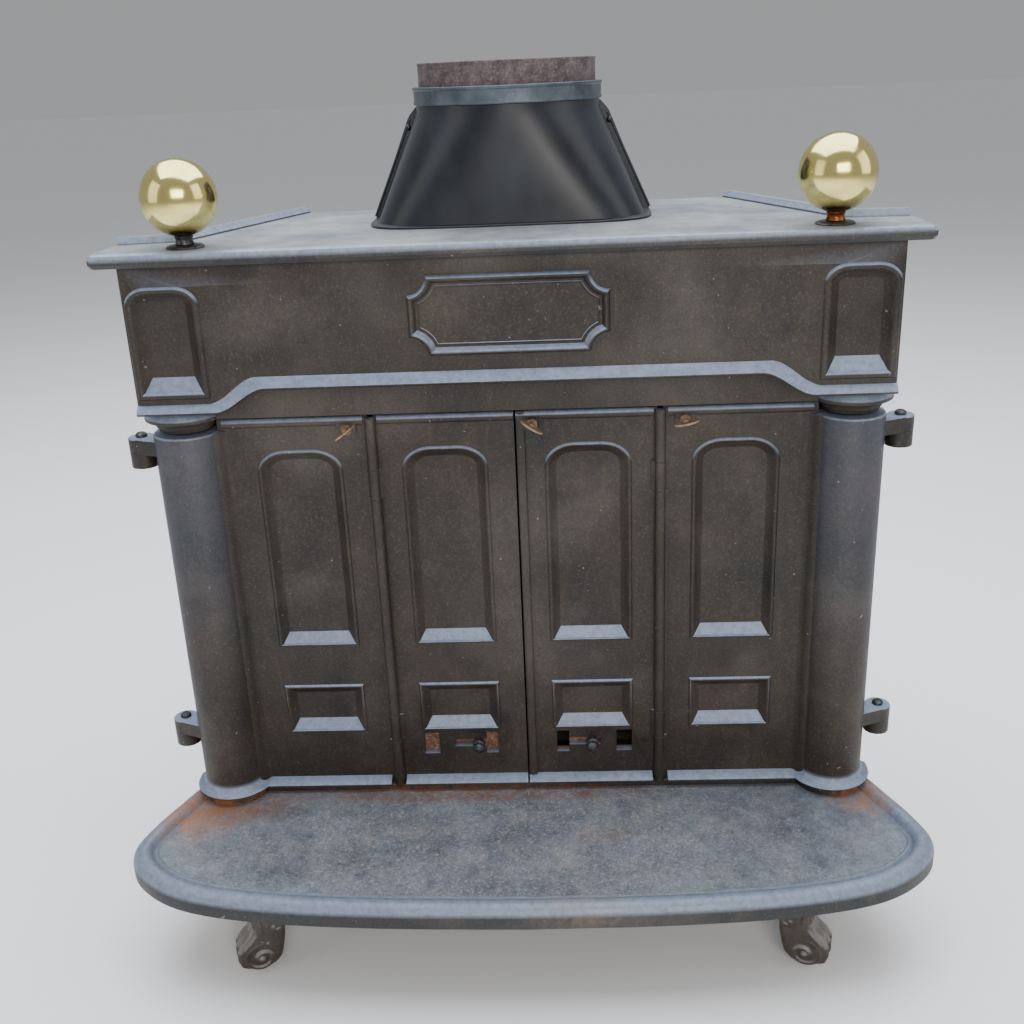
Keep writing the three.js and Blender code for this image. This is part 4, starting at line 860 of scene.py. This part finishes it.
capital = [
    (0, 610), (30.5, 610), (31, 612), (32.5, 613.6), (33.2, 615), (34.4, 617.2), (36.6, 619.4), (39.8, 621.2),
    (43, 622.2), (44.2, 623), (44.5, 624.4), (44.5, 626.6), (43.6, 628.2), (40.2, 633.4),
    (38.6, 635.2), (37.4, 637.4), (37, 640), (0, 640),
]
for _, s in SIDES:
    block(bm, s, 394, 402.9, 12.5, 66.7, BAND_LOW, 157.7)
    block(bm, s, 326, 402.8, 14, 66.6, BAND_LOW + 0.1, 9)
    cap_bm = bmesh.new()
    half_turned(cap_bm, capital, s * COLUMN_X, COLUMN_Y, 64)
    bmesh.ops.remove_doubles(cap_bm, verts=cap_bm.verts, dist=0.002 * MM)
    rim_edges = [e for e in cap_bm.edges if e.is_boundary]
    bmesh.ops.edgeloop_fill(cap_bm, edges=rim_edges)
    part = bpy.data.meshes.new("capital")
    cap_bm.to_mesh(part)
    cap_bm.free()
    bm.from_mesh(part)
piece("frieze_casting", bm, "stove_body", IRON, "cast_iron", ["frieze"], angle=33)

# %% [markdown]
# ## Door leaves
# Each leaf is a thin plate with a round-headed panel above a small square one.
# The panels are raised frames round a sunken field, with a deep sloping sill
# that catches the light. Outer leaves carry half a column, inner ones the air
# vents. A leaf is filled between its outlines at front and back, and the two
# skins are bridged round the edge and through the vents.

# %% A leaf with its panels
FRAME_STEPS = [
    (0.5, 1.6, -0.2), (0.8, 1.2, -0.3), (1.2, 0.7, -0.5), (1.4, 0.1, -0.5), (1.3, -0.8, -0.4),
    (0.8, -1.3, -0.6), (7.6, -6.0, 5.5),
]
PANEL_HALF = 49
BEAD_R = 5.5


def leaf_plate(bm, x0, x1, panel_x, holes=()):
    border = edge_loop(bm, upright_box(x0, x1, DOOR_FOOT, DOOR_HEAD, FACE))
    back_border = edge_loop(bm, upright_box(x0, x1, DOOR_FOOT, DOOR_HEAD, FACE + LEAF))
    rims, back_rims = list(border), list(back_border)
    for hole in holes:
        near = edge_loop(bm, [at(x, FACE, z) for x, z in hole])
        far = edge_loop(bm, [at(x, FACE + LEAF, z) for x, z in hole])
        bmesh.ops.bridge_loops(bm, edges=near + far)
        rims += near
        back_rims += far
    for outline in (
        arch(panel_x, PANEL_HALF, 336, 582, 34, FACE),
        upright_box(panel_x - PANEL_HALF, panel_x + PANEL_HALF, 218, 284, FACE),
    ):
        face = front_face(bm, outline)
        rims += list(face.edges)
        relief(bm, face, FRAME_STEPS)
    sheet_between(bm, rims, (0, -1, 0))
    sheet_between(bm, back_rims, (0, 1, 0))
    bmesh.ops.bridge_loops(bm, edges=border + back_border)


def top_bead(bm, x0, x1):
    """The rod along the head of a leaf, sunk into it by half."""
    centre = at((x0 + x1) / 2, FACE + 0.5, DOOR_HEAD - BEAD_R)
    bmesh.ops.create_cone(
        bm, cap_ends=True, segments=28, radius1=BEAD_R * MM, radius2=BEAD_R * MM,
        depth=abs(x1 - x0) * MM,
        matrix=Matrix.Translation(centre) @ Matrix.Rotation(pi / 2, 4, "Y"),
    )


def foot_ledge(bm, x0, x1):
    section = ((53, 9), (50.5, 9), (49, 8.6), (38.4, 4), (37.2, 3), (37, 1.6), (37, 0), (53, 0))
    prism(bm, [at(x0, y, DOOR_FOOT + z) for y, z in section], (x1 - x0, 0, 0))


def latch_tab(bm, x):
    """The tab with a round foot that carries a latch."""
    y, r = FACE + 1, 11
    foot = [radians(a) for a in range(180, 361, 10)]
    tab = [at(x + r * cos(a), y, LATCH_Z + r * sin(a)) for a in foot]
    prism(bm, tab + [at(x + r, y, LATCH_Z + r), at(x - r, y, LATCH_Z + r)], (0, -5, 0))


def fold_rod(bm, s, angles, low, tall):
    """A round length on the folding line, over some of its angles."""
    ring = []
    for a in angles:
        a = radians(a)
        ring.append(at(s * (FOLD_X + FOLD_R * cos(a)), FOLD_Y + FOLD_R * sin(a), low))
    prism(bm, ring, (0, 0, tall))


print("reliefs of", len(FRAME_STEPS), "steps")

# %% Outer leaves
for side, s in SIDES:
    bm = bmesh.new()
    x0, x1 = sorted((s * 163.2, s * 332))
    leaf_plate(bm, x0, x1, s * 243.5)
    top_bead(bm, s * 168, s * 326)
    foot_ledge(bm, s * 170.5, s * 328)
    latch_tab(bm, s * 187)
    cove = [
        (335, 39.5), (333, 40.3), (331, 41.6), (329, 43.4), (327, 45.8), (324.6, 48.2),
        (321.4, 49.8), (319, 51), (332, 54),
    ]
    prism(bm, [at(s * x, y, DOOR_FOOT + 4) for x, y in cove], (0, 0, 456))
    # the round bead down the folding edge, left out where the knuckles sit
    web = ((161, 43.5), (169.2, 46.5), (169.2, 52), (163.3, 52))
    for low, high in ((145, 206.5), (241.5, 522.5), (557.5, 617)):
        fold_rod(bm, s, range(54, -235, -12), low, high - low)
        prism(bm, [at(s * x, y, low) for x, y in web], (0, 0, high - low))
    # hinge lugs: an eye, and an arm that reaches it from the column
    arm = ((428, 51.6), (398, 39), (400, 66), (419, 74))
    for low in (580.5, 216.5):
        eye = [
            (5.4, low), (14.2, low), (15, low + 0.8), (15, low + 16.2), (14.2, low + 17),
            (5.4, low + 17), (5.4, low),
        ]
        spun(bm, eye, at(s * HINGE_X, HINGE_Y, 0), steps=40)
        prism(bm, [at(s * x, y, low + 0.1) for x, y in arm], (0, 0, 16.8))
    piece(
        "outer_leaf_" + side, bm, "outer_door_" + side, IRON, "cast_iron", ["door_outer_" + side],
        angle=33,
    )

# %% [markdown]
# ## Half-round columns
# The columns are thin half shells on a bell-shaped foot, cast in one with the
# outer leaves. A profile is turned through half a circle, its open edges are
# drawn back to the hinge line, and the skin then gets its thickness, so the
# back stays hollow as in the real casting.

# %% Columns
shaft = [
    (0, 146), (45.5, 146), (47.4, 146.4), (48.4, 147.4), (48.6, 148.4), (47.6, 150.2),
    (45.6, 151.4), (42.4, 152.6), (40.6, 154), (39.2, 156), (38.4, 158.6), (38, 162),
    (38, 603.6), (37.6, 605), (36.6, 605.9), (0, 606),
]
for side, s in SIDES:
    bm = bmesh.new()
    half_turned(bm, shaft, s * COLUMN_X, COLUMN_Y, 66)
    bmesh.ops.remove_doubles(bm, verts=bm.verts, dist=0.002 * MM)
    bmesh.ops.recalc_face_normals(bm, faces=bm.faces)
    column = piece("column_" + side, bm, "outer_door_" + side, IRON, "cast_iron", angle=40)
    wall = column.modifiers.new("casting_wall", "SOLIDIFY")
    wall.thickness = 5 * MM
    wall.offset = -1
    wall.use_even_offset = False

# %% Inner leaves
for side, s in SIDES:
    bm = bmesh.new()
    x0, x1 = sorted((s * 1, s * 156.8))
    far = [
        (s * x, VENT_Z - 0.5 + z)
        for x, z in ((108.5, -14), (127.5, -14), (127.5, 15), (108.5, 15))
    ]
    near = [
        (s * x, VENT_Z + z)
        for x, z in (
            (36, -14.5), (51, -14.5), (51, -5), (89, -5), (89, 5), (51, 5), (51, 14.5), (36, 14.5),
        )
    ]
    leaf_plate(bm, x0, x1, s * 80, (near, far))
    top_bead(bm, s * 1.2, s * 152.5)
    foot_ledge(bm, s * 1.2, s * 152)
    # knuckles of the fold, each on an arm from the leaf
    arm = ((159, 40.5), (148.8, 49), (149.8, 52), (155.8, 54), (158, 49.5))
    for low in (523, 207):
        fold_rod(bm, s, range(0, 360, 12), low, 34)
        prism(bm, [at(s * x, y, low) for x, y in arm], (0, 0, 34))
    # rails that hold the air slide
    rail = [(57, 19.5), (61.5, 19.5), (61.5, 16), (64, 16), (64, 23), (57, 23)]
    for k in (-1, 1):
        prism(bm, [at(s * 24, y, VENT_Z + k * z) for y, z in rail], (s * 122, 0, 0))
    if s > 0:
        strip = [
            (1, 51), (1, 47.4), (1.5, 46.4), (2.6, 45.7), (4, 45.4), (8, 45.4), (9.6, 45.8),
            (10.6, 46.6), (11, 47.6), (11, 51),
        ]
        prism(bm, [at(x, y, 154) for x, y in strip], (0, 0, 465))
        latch_tab(bm, 19)
    piece(
        "inner_leaf_" + side, bm, "inner_door_" + side, IRON, "cast_iron", ["door_inner_" + side],
        angle=33,
    )

# %% [markdown]
# ## Flue hood
# Two folded steel sheets make the hood: nearly square at its foot, round at
# its neck, and narrowing only in width. Outlines that turn from a squared oval
# into a circle are bridged, and the skin gets the thickness of the sheet. The
# folded seams stand out like fins at both ends, each with one rivet.

# %% Hood skin
FLUE = (0, 218)
HOOD_FOOT, BAND_Z = 810.3, 936
HOOD_HEAD = BAND_Z - 8  # the hood is as narrow as its neck from here
NECK_R = 104


def squared_oval(half_width, half_depth, power, z, count=112):
    """power 1 gives an ellipse, and less squares its corners."""
    ring = []
    for i in range(count):
        t = 2 * pi * (i + 0.5) / count
        c, v = cos(t), sin(t)
        ring.append(at(
            FLUE[0] + half_width * (1 if c > 0 else -1) * abs(c) ** power,
            FLUE[1] + half_depth * (1 if v > 0 else -1) * abs(v) ** power, z))
    return ring


def hood_half(z):
    return max(153 - 49 * (z - HOOD_FOOT) / (HOOD_HEAD - HOOD_FOOT), NECK_R)


bm = bmesh.new()
rings = []
for i in range(15):
    t = i / 14
    z = HOOD_FOOT + t * (HOOD_HEAD - HOOD_FOOT)
    rings.append(squared_oval(hood_half(z), NECK_R, 0.44 + 0.56 * t ** 1.15, z))
rings.append(squared_oval(NECK_R, NECK_R, 1, BAND_Z - 0.3))
loft(bm, rings, caps=False)
hood = piece("hood_sheets", bm, "stove_body", HOOD_STEEL, "hood_steel", ["flue_hood"], angle=60)
sheet = hood.modifiers.new("sheet", "SOLIDIFY")
sheet.thickness = 3 * MM
sheet.offset = -1

# %% Foot flange and folded seams
bm = bmesh.new()
wide = squared_oval(160, 108, 0.40, HOOD_FOOT)
tight = squared_oval(151.5, 102.5, 0.44, HOOD_FOOT)
loops = []
for ring, h in ((wide, 0), (wide, 2.2), (tight, 3.4), (tight, 0)):
    loops.append(edge_loop(bm, [p + Vector((0, 0, h * MM)) for p in ring]))
for near, far in zip(loops, loops[1:] + loops[:1]):
    bmesh.ops.bridge_loops(bm, edges=near + far)
piece("hood_flange", bm, "stove_body", HOOD_STEEL, "hood_steel", edge=0.5, angle=40)
for side, s in SIDES:
    bm = bmesh.new()
    top = BAND_Z - 12
    fin = rounded([at(s * x, 216.2, z) for x, z in (
        (150, HOOD_FOOT + 1), (161.5, HOOD_FOOT + 1), (hood_half(top) + 8.5, top),
        (105, BAND_Z - 2), (101, BAND_Z - 3), (hood_half(top) - 3, top),
    )], (1, 2), 4, 5)
    prism(bm, fin, (0, 3.6, 0))
    # the fold itself: a thin round edge that wraps the fin's outer side
    lean = (161.5 - hood_half(top) - 8.5) / 10
    round_hem = [2 * pi * j / 14 for j in range(14)]
    hem = []
    for k in range(11):
        x = s * (160.3 - lean * k)
        z = HOOD_FOOT + 4 + (top - 8 - HOOD_FOOT) * k / 10
        hem.append([at(x + 1.9 * cos(a), FLUE[1] + 2.6 * sin(a), z) for a in round_hem])
    loft(bm, hem)
    piece("hood_seam_" + side, bm, "stove_body", HOOD_STEEL, "hood_steel", edge=0.5, angle=40)
    bm = bmesh.new()
    low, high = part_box("seam_rivet_" + side)
    dome = [(0, -5.0), (1.4, -4.8), (2.6, -4.1), (3.3, -3.1), (3.5, -1.9), (1.9, -1.9)]
    rivet = dome + [(r, -y) for r, y in reversed(dome)]
    spun(bm, rivet, at((low.x + high.x) / 2 / MM, FLUE[1], 912), axis="Y", steps=24)
    piece(
        "rivet_" + side, bm, "stove_body", HOOD_STEEL, "hood_steel", ["seam_rivet_" + side],
        angle=50,
    )

# %% [markdown]
# ## Clamp band and spigot
# A strip of steel clamps the spigot into the neck of the hood. Both are
# turnings: a closed section carried once round the flue.

# %% Band and spigot
def ring_piece(name, section, material, slot, node, edge=0.4):
    bm = bmesh.new()
    spun(bm, section + section[:1], at(*FLUE, 0), steps=120)
    return piece(name, bm, "stove_body", material, slot, [node], edge=edge, angle=40)


ring_piece("clamp_band", [
    (100.3, 936), (106.4, 936), (107, 936.8), (107.0, 938.6), (106.2, 939.6),
    (106.2, 951), (107.2, 952), (107.4, 954), (106.6, 955), (100.3, 955),
], BAND_STEEL, "band_steel", "collar_band")
ring_piece("spigot", [
    (97.5, 924), (100, 924), (100, 976.6), (100.5, 977.4), (100.6, 979.2), (99.8, 980),
    (98.0, 980), (97.5, 979.2),
], RUSTED_STEEL, "rusted_steel", "flue_spigot", 0.3)

# %% [markdown]
# ## Finials
# Hollow brass balls stand on short stems, each on a dished washer. All three
# are turnings on one upright axis.

# %% Balls, stems and washers
BALL_Z, BALL_R = 860.6, 39.4
SEAT_R = 9.8  # where a ball sits on its stem
FINIAL_X, FINIAL_Y = 335, 35
seat = BALL_Z - sqrt(BALL_R ** 2 - SEAT_R ** 2)
first = -radians(90) + 0.2513
ball = [(0, seat), (SEAT_R, seat)]
for i in range(1, 48):
    a = first + (pi / 2 - first) * i / 48
    ball.append((BALL_R * cos(a), BALL_Z + BALL_R * sin(a)))
ball.append((0, BALL_Z + BALL_R))
stem = [
    (0, 783), (4.6, 783), (5, 783.6), (5, 813.3), (9.2, 813.3), (9.8, 814), (9.6, 815.2),
    (8.9, 816.6), (8.7, 818.6), (9.3, 820.6), (9.8, 821.4), (9.8, seat - 0.3), (0, seat - 0.3),
]
washer = [
    (5.4, 810.3), (20, 810.3), (20.1, 811), (19.4, 811.9), (17.2, 812.9), (14, 813.2),
    (5.4, 813.2), (5.4, 810.3),
]
STEMS = {"left": (BARE_STEEL, "bare_steel"), "right": (BROWNED_STEM, "copper_brown")}
for side, s in SIDES:
    for word, profile, steps, finish, angle in (
        ("ball", ball, 96, (BRASS, "brass"), 50),
        ("stem", stem, 48, STEMS[side], 40),
        ("washer", washer, 64, (BARE_STEEL, "bare_steel"), 40),
    ):
        bm = bmesh.new()
        spun(bm, profile, at(s * FINIAL_X, FINIAL_Y, 0), steps=steps)
        node = "finial_" + word + "_" + side
        piece(word + "_" + side, bm, "stove_body", *finish, [node], angle=angle)

# %% [markdown]
# ## Scroll legs
# Each leg is a short cast S-scroll: a square flange under the plate, a knee
# that curls inwards, and a big volute for a foot that curls outwards. Both
# curls show as spirals on the front cheek. The silhouette is pushed through
# the leg's thickness, spirals and leaf ribs are laid on it, and a voxel remesh
# melts everything into one casting.

# %% Rods for the leg
def bent_rod(bm, centres, radii, side, count):
    """A tapering rod through the centres. side lies across its way."""
    around = [2 * pi * j / count for j in range(count)]
    rings = []
    for i, c in enumerate(centres):
        ahead = centres[min(i + 1, len(centres) - 1)] - centres[max(i - 1, 0)]
        normal = ahead.normalized().cross(side).normalized()
        thick = radii[i] * MM
        rings.append([c + side * (thick * cos(a)) + normal * (thick * sin(a)) for a in around])
    loft(bm, rings)


# outline of the scroll: (outwards, height), up the inner side and down the outer
SCROLL = [
    (8, 1), (-2, 6), (-9, 13), (-12, 22), (-14, 32), (-16, 42), (-17, 54), (-18, 68),
    (-19, 84), (-22, 100), (-24, 116), (25, 116), (23, 104), (20, 90), (18, 76), (17.5, 62),
    (19, 52), (25, 44), (33, 37), (37.5, 29), (38.5, 20), (36, 11), (29, 4), (20, 1),
]
# how far the cheeks are rounded over: (scale of the outline, offset sideways)
CHEEKS = [(0.80, -17), (0.92, -15), (1, -10), (1, 10), (0.92, 15), (0.80, 17)]
VOLUTE = (13.5, 20.5)  # eye of the foot's scroll
KNEE = (-6, 60)  # eye of the upper curl
# one lobe of the leaf: (outwards, height, spread sideways)
LOBE = [
    (20, 108, 1), (17, 90, 1), (15, 72, 1), (16, 58, 1), (22, 48, 1), (31, 40, 1),
    (36, 31, 1.2), (36.5, 21, 1.25), (34, 12, 1.2), (28, 7, 1),
]
VOXEL = 1.3  # size of the grain that melts a leg together


# %% A leg
def leg_at(name, x, y):
    out = Vector((0.94 if x > 0 else -0.94, 0.34 if y > 0 else -0.34, 0)).normalized()
    cheek = Vector((-out.y, out.x, 0))
    foot = at(x, y, 0)

    def p(push, z, aside=0.0):
        return foot + out * (push * MM) + cheek * (aside * MM) + Vector((0, 0, z * MM))

    def swollen(scale, aside):
        return [p(6 + (u - 6) * scale, 58 + (z - 58) * (scale if z < 100 else 1), aside) for u, z in SCROLL]

    bm = bmesh.new()
    loft(bm, [swollen(scale, aside) for scale, aside in CHEEKS])
    for k in (-1, 1):
        # the foot's volute: a rope that winds in from the outer edge to an eye
        turns = [i * 0.22 for i in range(44)]
        u, z = VOLUTE
        winding = [
            p(u + (21.5 - 1.9 * a) * cos(2.3 - a), z + (19 - 1.65 * a) * sin(2.3 - a), k * (14 + 0.45 * a))
            for a in turns
        ]
        bent_rod(bm, winding, [3.3 - 0.10 * a for a in turns], cheek, 10)
        eye = Matrix.Translation(p(u, z, k * 18))
        bmesh.ops.create_uvsphere(bm, u_segments=14, v_segments=10, radius=4.4 * MM, matrix=eye)
        # the knee's small curl, and two leaf veins that fan out below it
        turns = [i * 0.25 for i in range(26)]
        u, z = KNEE
        curl = []
        for a in turns:
            r = 10.5 - 1.3 * a
            curl.append(p(u + r * cos(a + 0.4), z + r * sin(a + 0.4), k * (15 + 0.3 * a)))
        bent_rod(bm, curl, [2.7 - 0.12 * a for a in turns], cheek, 10)
        for lean, wide in ((0, 3.0), (7, 2.4)):
            vein = [
                p(19 - lean, 104, k * 14), p(14 - lean, 84, k * 16), p(11 - lean, 66, k * 16),
                p(10 - 0.6 * lean, 52, k * 15), p(15 - lean, 42, k * 13),
            ]
            bent_rod(bm, vein, [wide, wide, wide, wide * 0.8, 1.2], cheek, 10)
    # lobes of the leaf over the outer side of the foot
    for aside, wide in ((-10, 4.6), (0, 5.4), (10, 4.6)):
        lobe = [p(push, z, aside * spread) for push, z, spread in LOBE]
        bent_rod(bm, lobe, [3.4] + [wide] * 6 + [wide - 0.4, wide - 1, 3], cheek, 12)
    corners = ((-1, -1), (1, -1), (1, 1), (-1, 1))
    prism(bm, [foot + Vector((u * 27 * MM, v * 27 * MM, 107.7 * MM)) for u, v in corners], (0, 0, 8.9))
    bmesh.ops.recalc_face_normals(bm, faces=bm.faces)
    # nothing goes below the floor
    for v in bm.verts:
        v.co.z = max(v.co.z, FLOOR + 1 * MM)
    leg = piece("leg_casting_" + name, bm, "stove_body", IRON_LEG, "cast_iron", ["leg_" + name], angle=180)
    melt = leg.modifiers.new("melt", "REMESH")
    melt.mode = "VOXEL"
    melt.voxel_size = VOXEL * MM
    melt.use_smooth_shade = True
    calm = leg.modifiers.new("calm", "SMOOTH")
    calm.iterations = 2
    calm.factor = 0.4


for name, x, y in LEGS:
    leg_at(name, x, y)

# %% [markdown]
# ## Knobs and latches
# The air knobs are small turned buttons with a waist. Each latch is a thumb
# turn: an oval plate that stands edgeways on its spindle, dished on both
# sides, with a thicker rim where fingers have polished it.

# %% Air knobs
knob = [
    (0, 32), (3.6, 32.1), (5.2, 32.8), (6.5, 34.4), (7, 36.4), (6.7, 38.2), (5.4, 39.2),
    (5, 40.2), (5.2, 41.4), (6.4, 42), (7.1, 43), (7.2, 47), (6.7, 48.4), (4, 48.6), (4, 58.2),
    (2.5, 58.4), (2.5, 62), (0, 62),
]
for side, _ in SIDES:
    low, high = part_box("air_knob_" + side)
    bm = bmesh.new()
    spun(bm, knob, at((low.x + high.x) / 2 / MM, 0, VENT_Z), axis="Y", steps=40)
    body = BODY_OF["air_knob_" + side]
    piece("knob_" + side, bm, body, BARE_STEEL, "bare_steel", ["air_knob_" + side], angle=40)

# %% Thumb turns
# from one face to the other: (offset, share of the full outline)
DISHED = [
    (-0.5, 0.62), (-0.9, 0.76), (-1.3, 0.84), (-1.2, 0.95), (-0.6, 1.0),
    (0.6, 1.0), (1.2, 0.95), (1.3, 0.84), (0.9, 0.76), (0.5, 0.62),
]
spindle = [
    (0, 36), (2.6, 36.4), (3.4, 37.4), (3.9, 40), (5.2, 43.6), (6.2, 44.6), (6.2, 45.5),
    (4, 45.5), (4, 65), (0, 65),
]
for place, x, lean in (("left", -187, 36), ("middle", 19, -33), ("right", 187, 11)):
    bm = bmesh.new()
    turn = radians(lean)
    rings = []
    for w, size in DISHED:
        ring = []
        for i in range(48):
            t = 2 * pi * i / 48
            u, y = 14 * size * cos(t), 34 + 8 * size * sin(t)
            across_x = u * cos(turn) - w * sin(turn)
            across_z = u * sin(turn) + w * cos(turn)
            ring.append(at(x + across_x, y, LATCH_Z + across_z))
        rings.append(ring)
    loft(bm, rings)
    spun(bm, spindle, at(x, 0, LATCH_Z), axis="Y", steps=36)
    piece(
        "latch_" + place, bm, "latch_" + place, LATCH_IRON, "rusted_steel", ["latch_wing_" + place],
        edge=0.2, angle=50,
    )

# %% [markdown]
# ## Castings taken over from the engineering model
# Flat castings already have their right shape: the top plate, the walls, the
# grate, pins and bolts. They keep their meshes, which are loose triangles, so
# a Weld modifier joins them, and a small bevel gives them worn edges and a
# clean highlight.

# %% Finishes for them
CARRIED = {
    "top_plate": (IRON_TOP, 1.6), "side_wall_left": (IRON, 0.8), "side_wall_right": (IRON, 0.8),
    "back_wall": (IRON, 1.0), "fireback_plate": (SOOTY_IRON, 1.2), "smoke_baffle": (SOOTY_IRON, 0.8),
    "fire_grate": (SOOTY_IRON, 1.2), "log_guard": (SOOTY_IRON, 1.2),
}
for name, node in frame["nodes"].items():
    if node.hide_render:
        continue
    if name in CARRIED:
        material, edge = CARRIED[name]
    elif name.startswith("air_slide"):
        material, edge = SLIDE_RUST, 0.3
    elif name.startswith("latch_tongue"):
        material, edge = LATCH_IRON, 0.5
    else:
        material, edge = BARE_STEEL, 0.25
    node.data.materials.clear()
    node.data.materials.append(material)
    node.data.shade_smooth()
    soften(node, edge, 3 if edge > 1.4 else 2, 27, weld=True)
    print(name, "->", material.name)

# %% Print the sizes
low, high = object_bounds()
grown = (high - low) - (cad_high - cad_low)
print("grown by", [round(v / MM, 1) for v in grown], "mm")
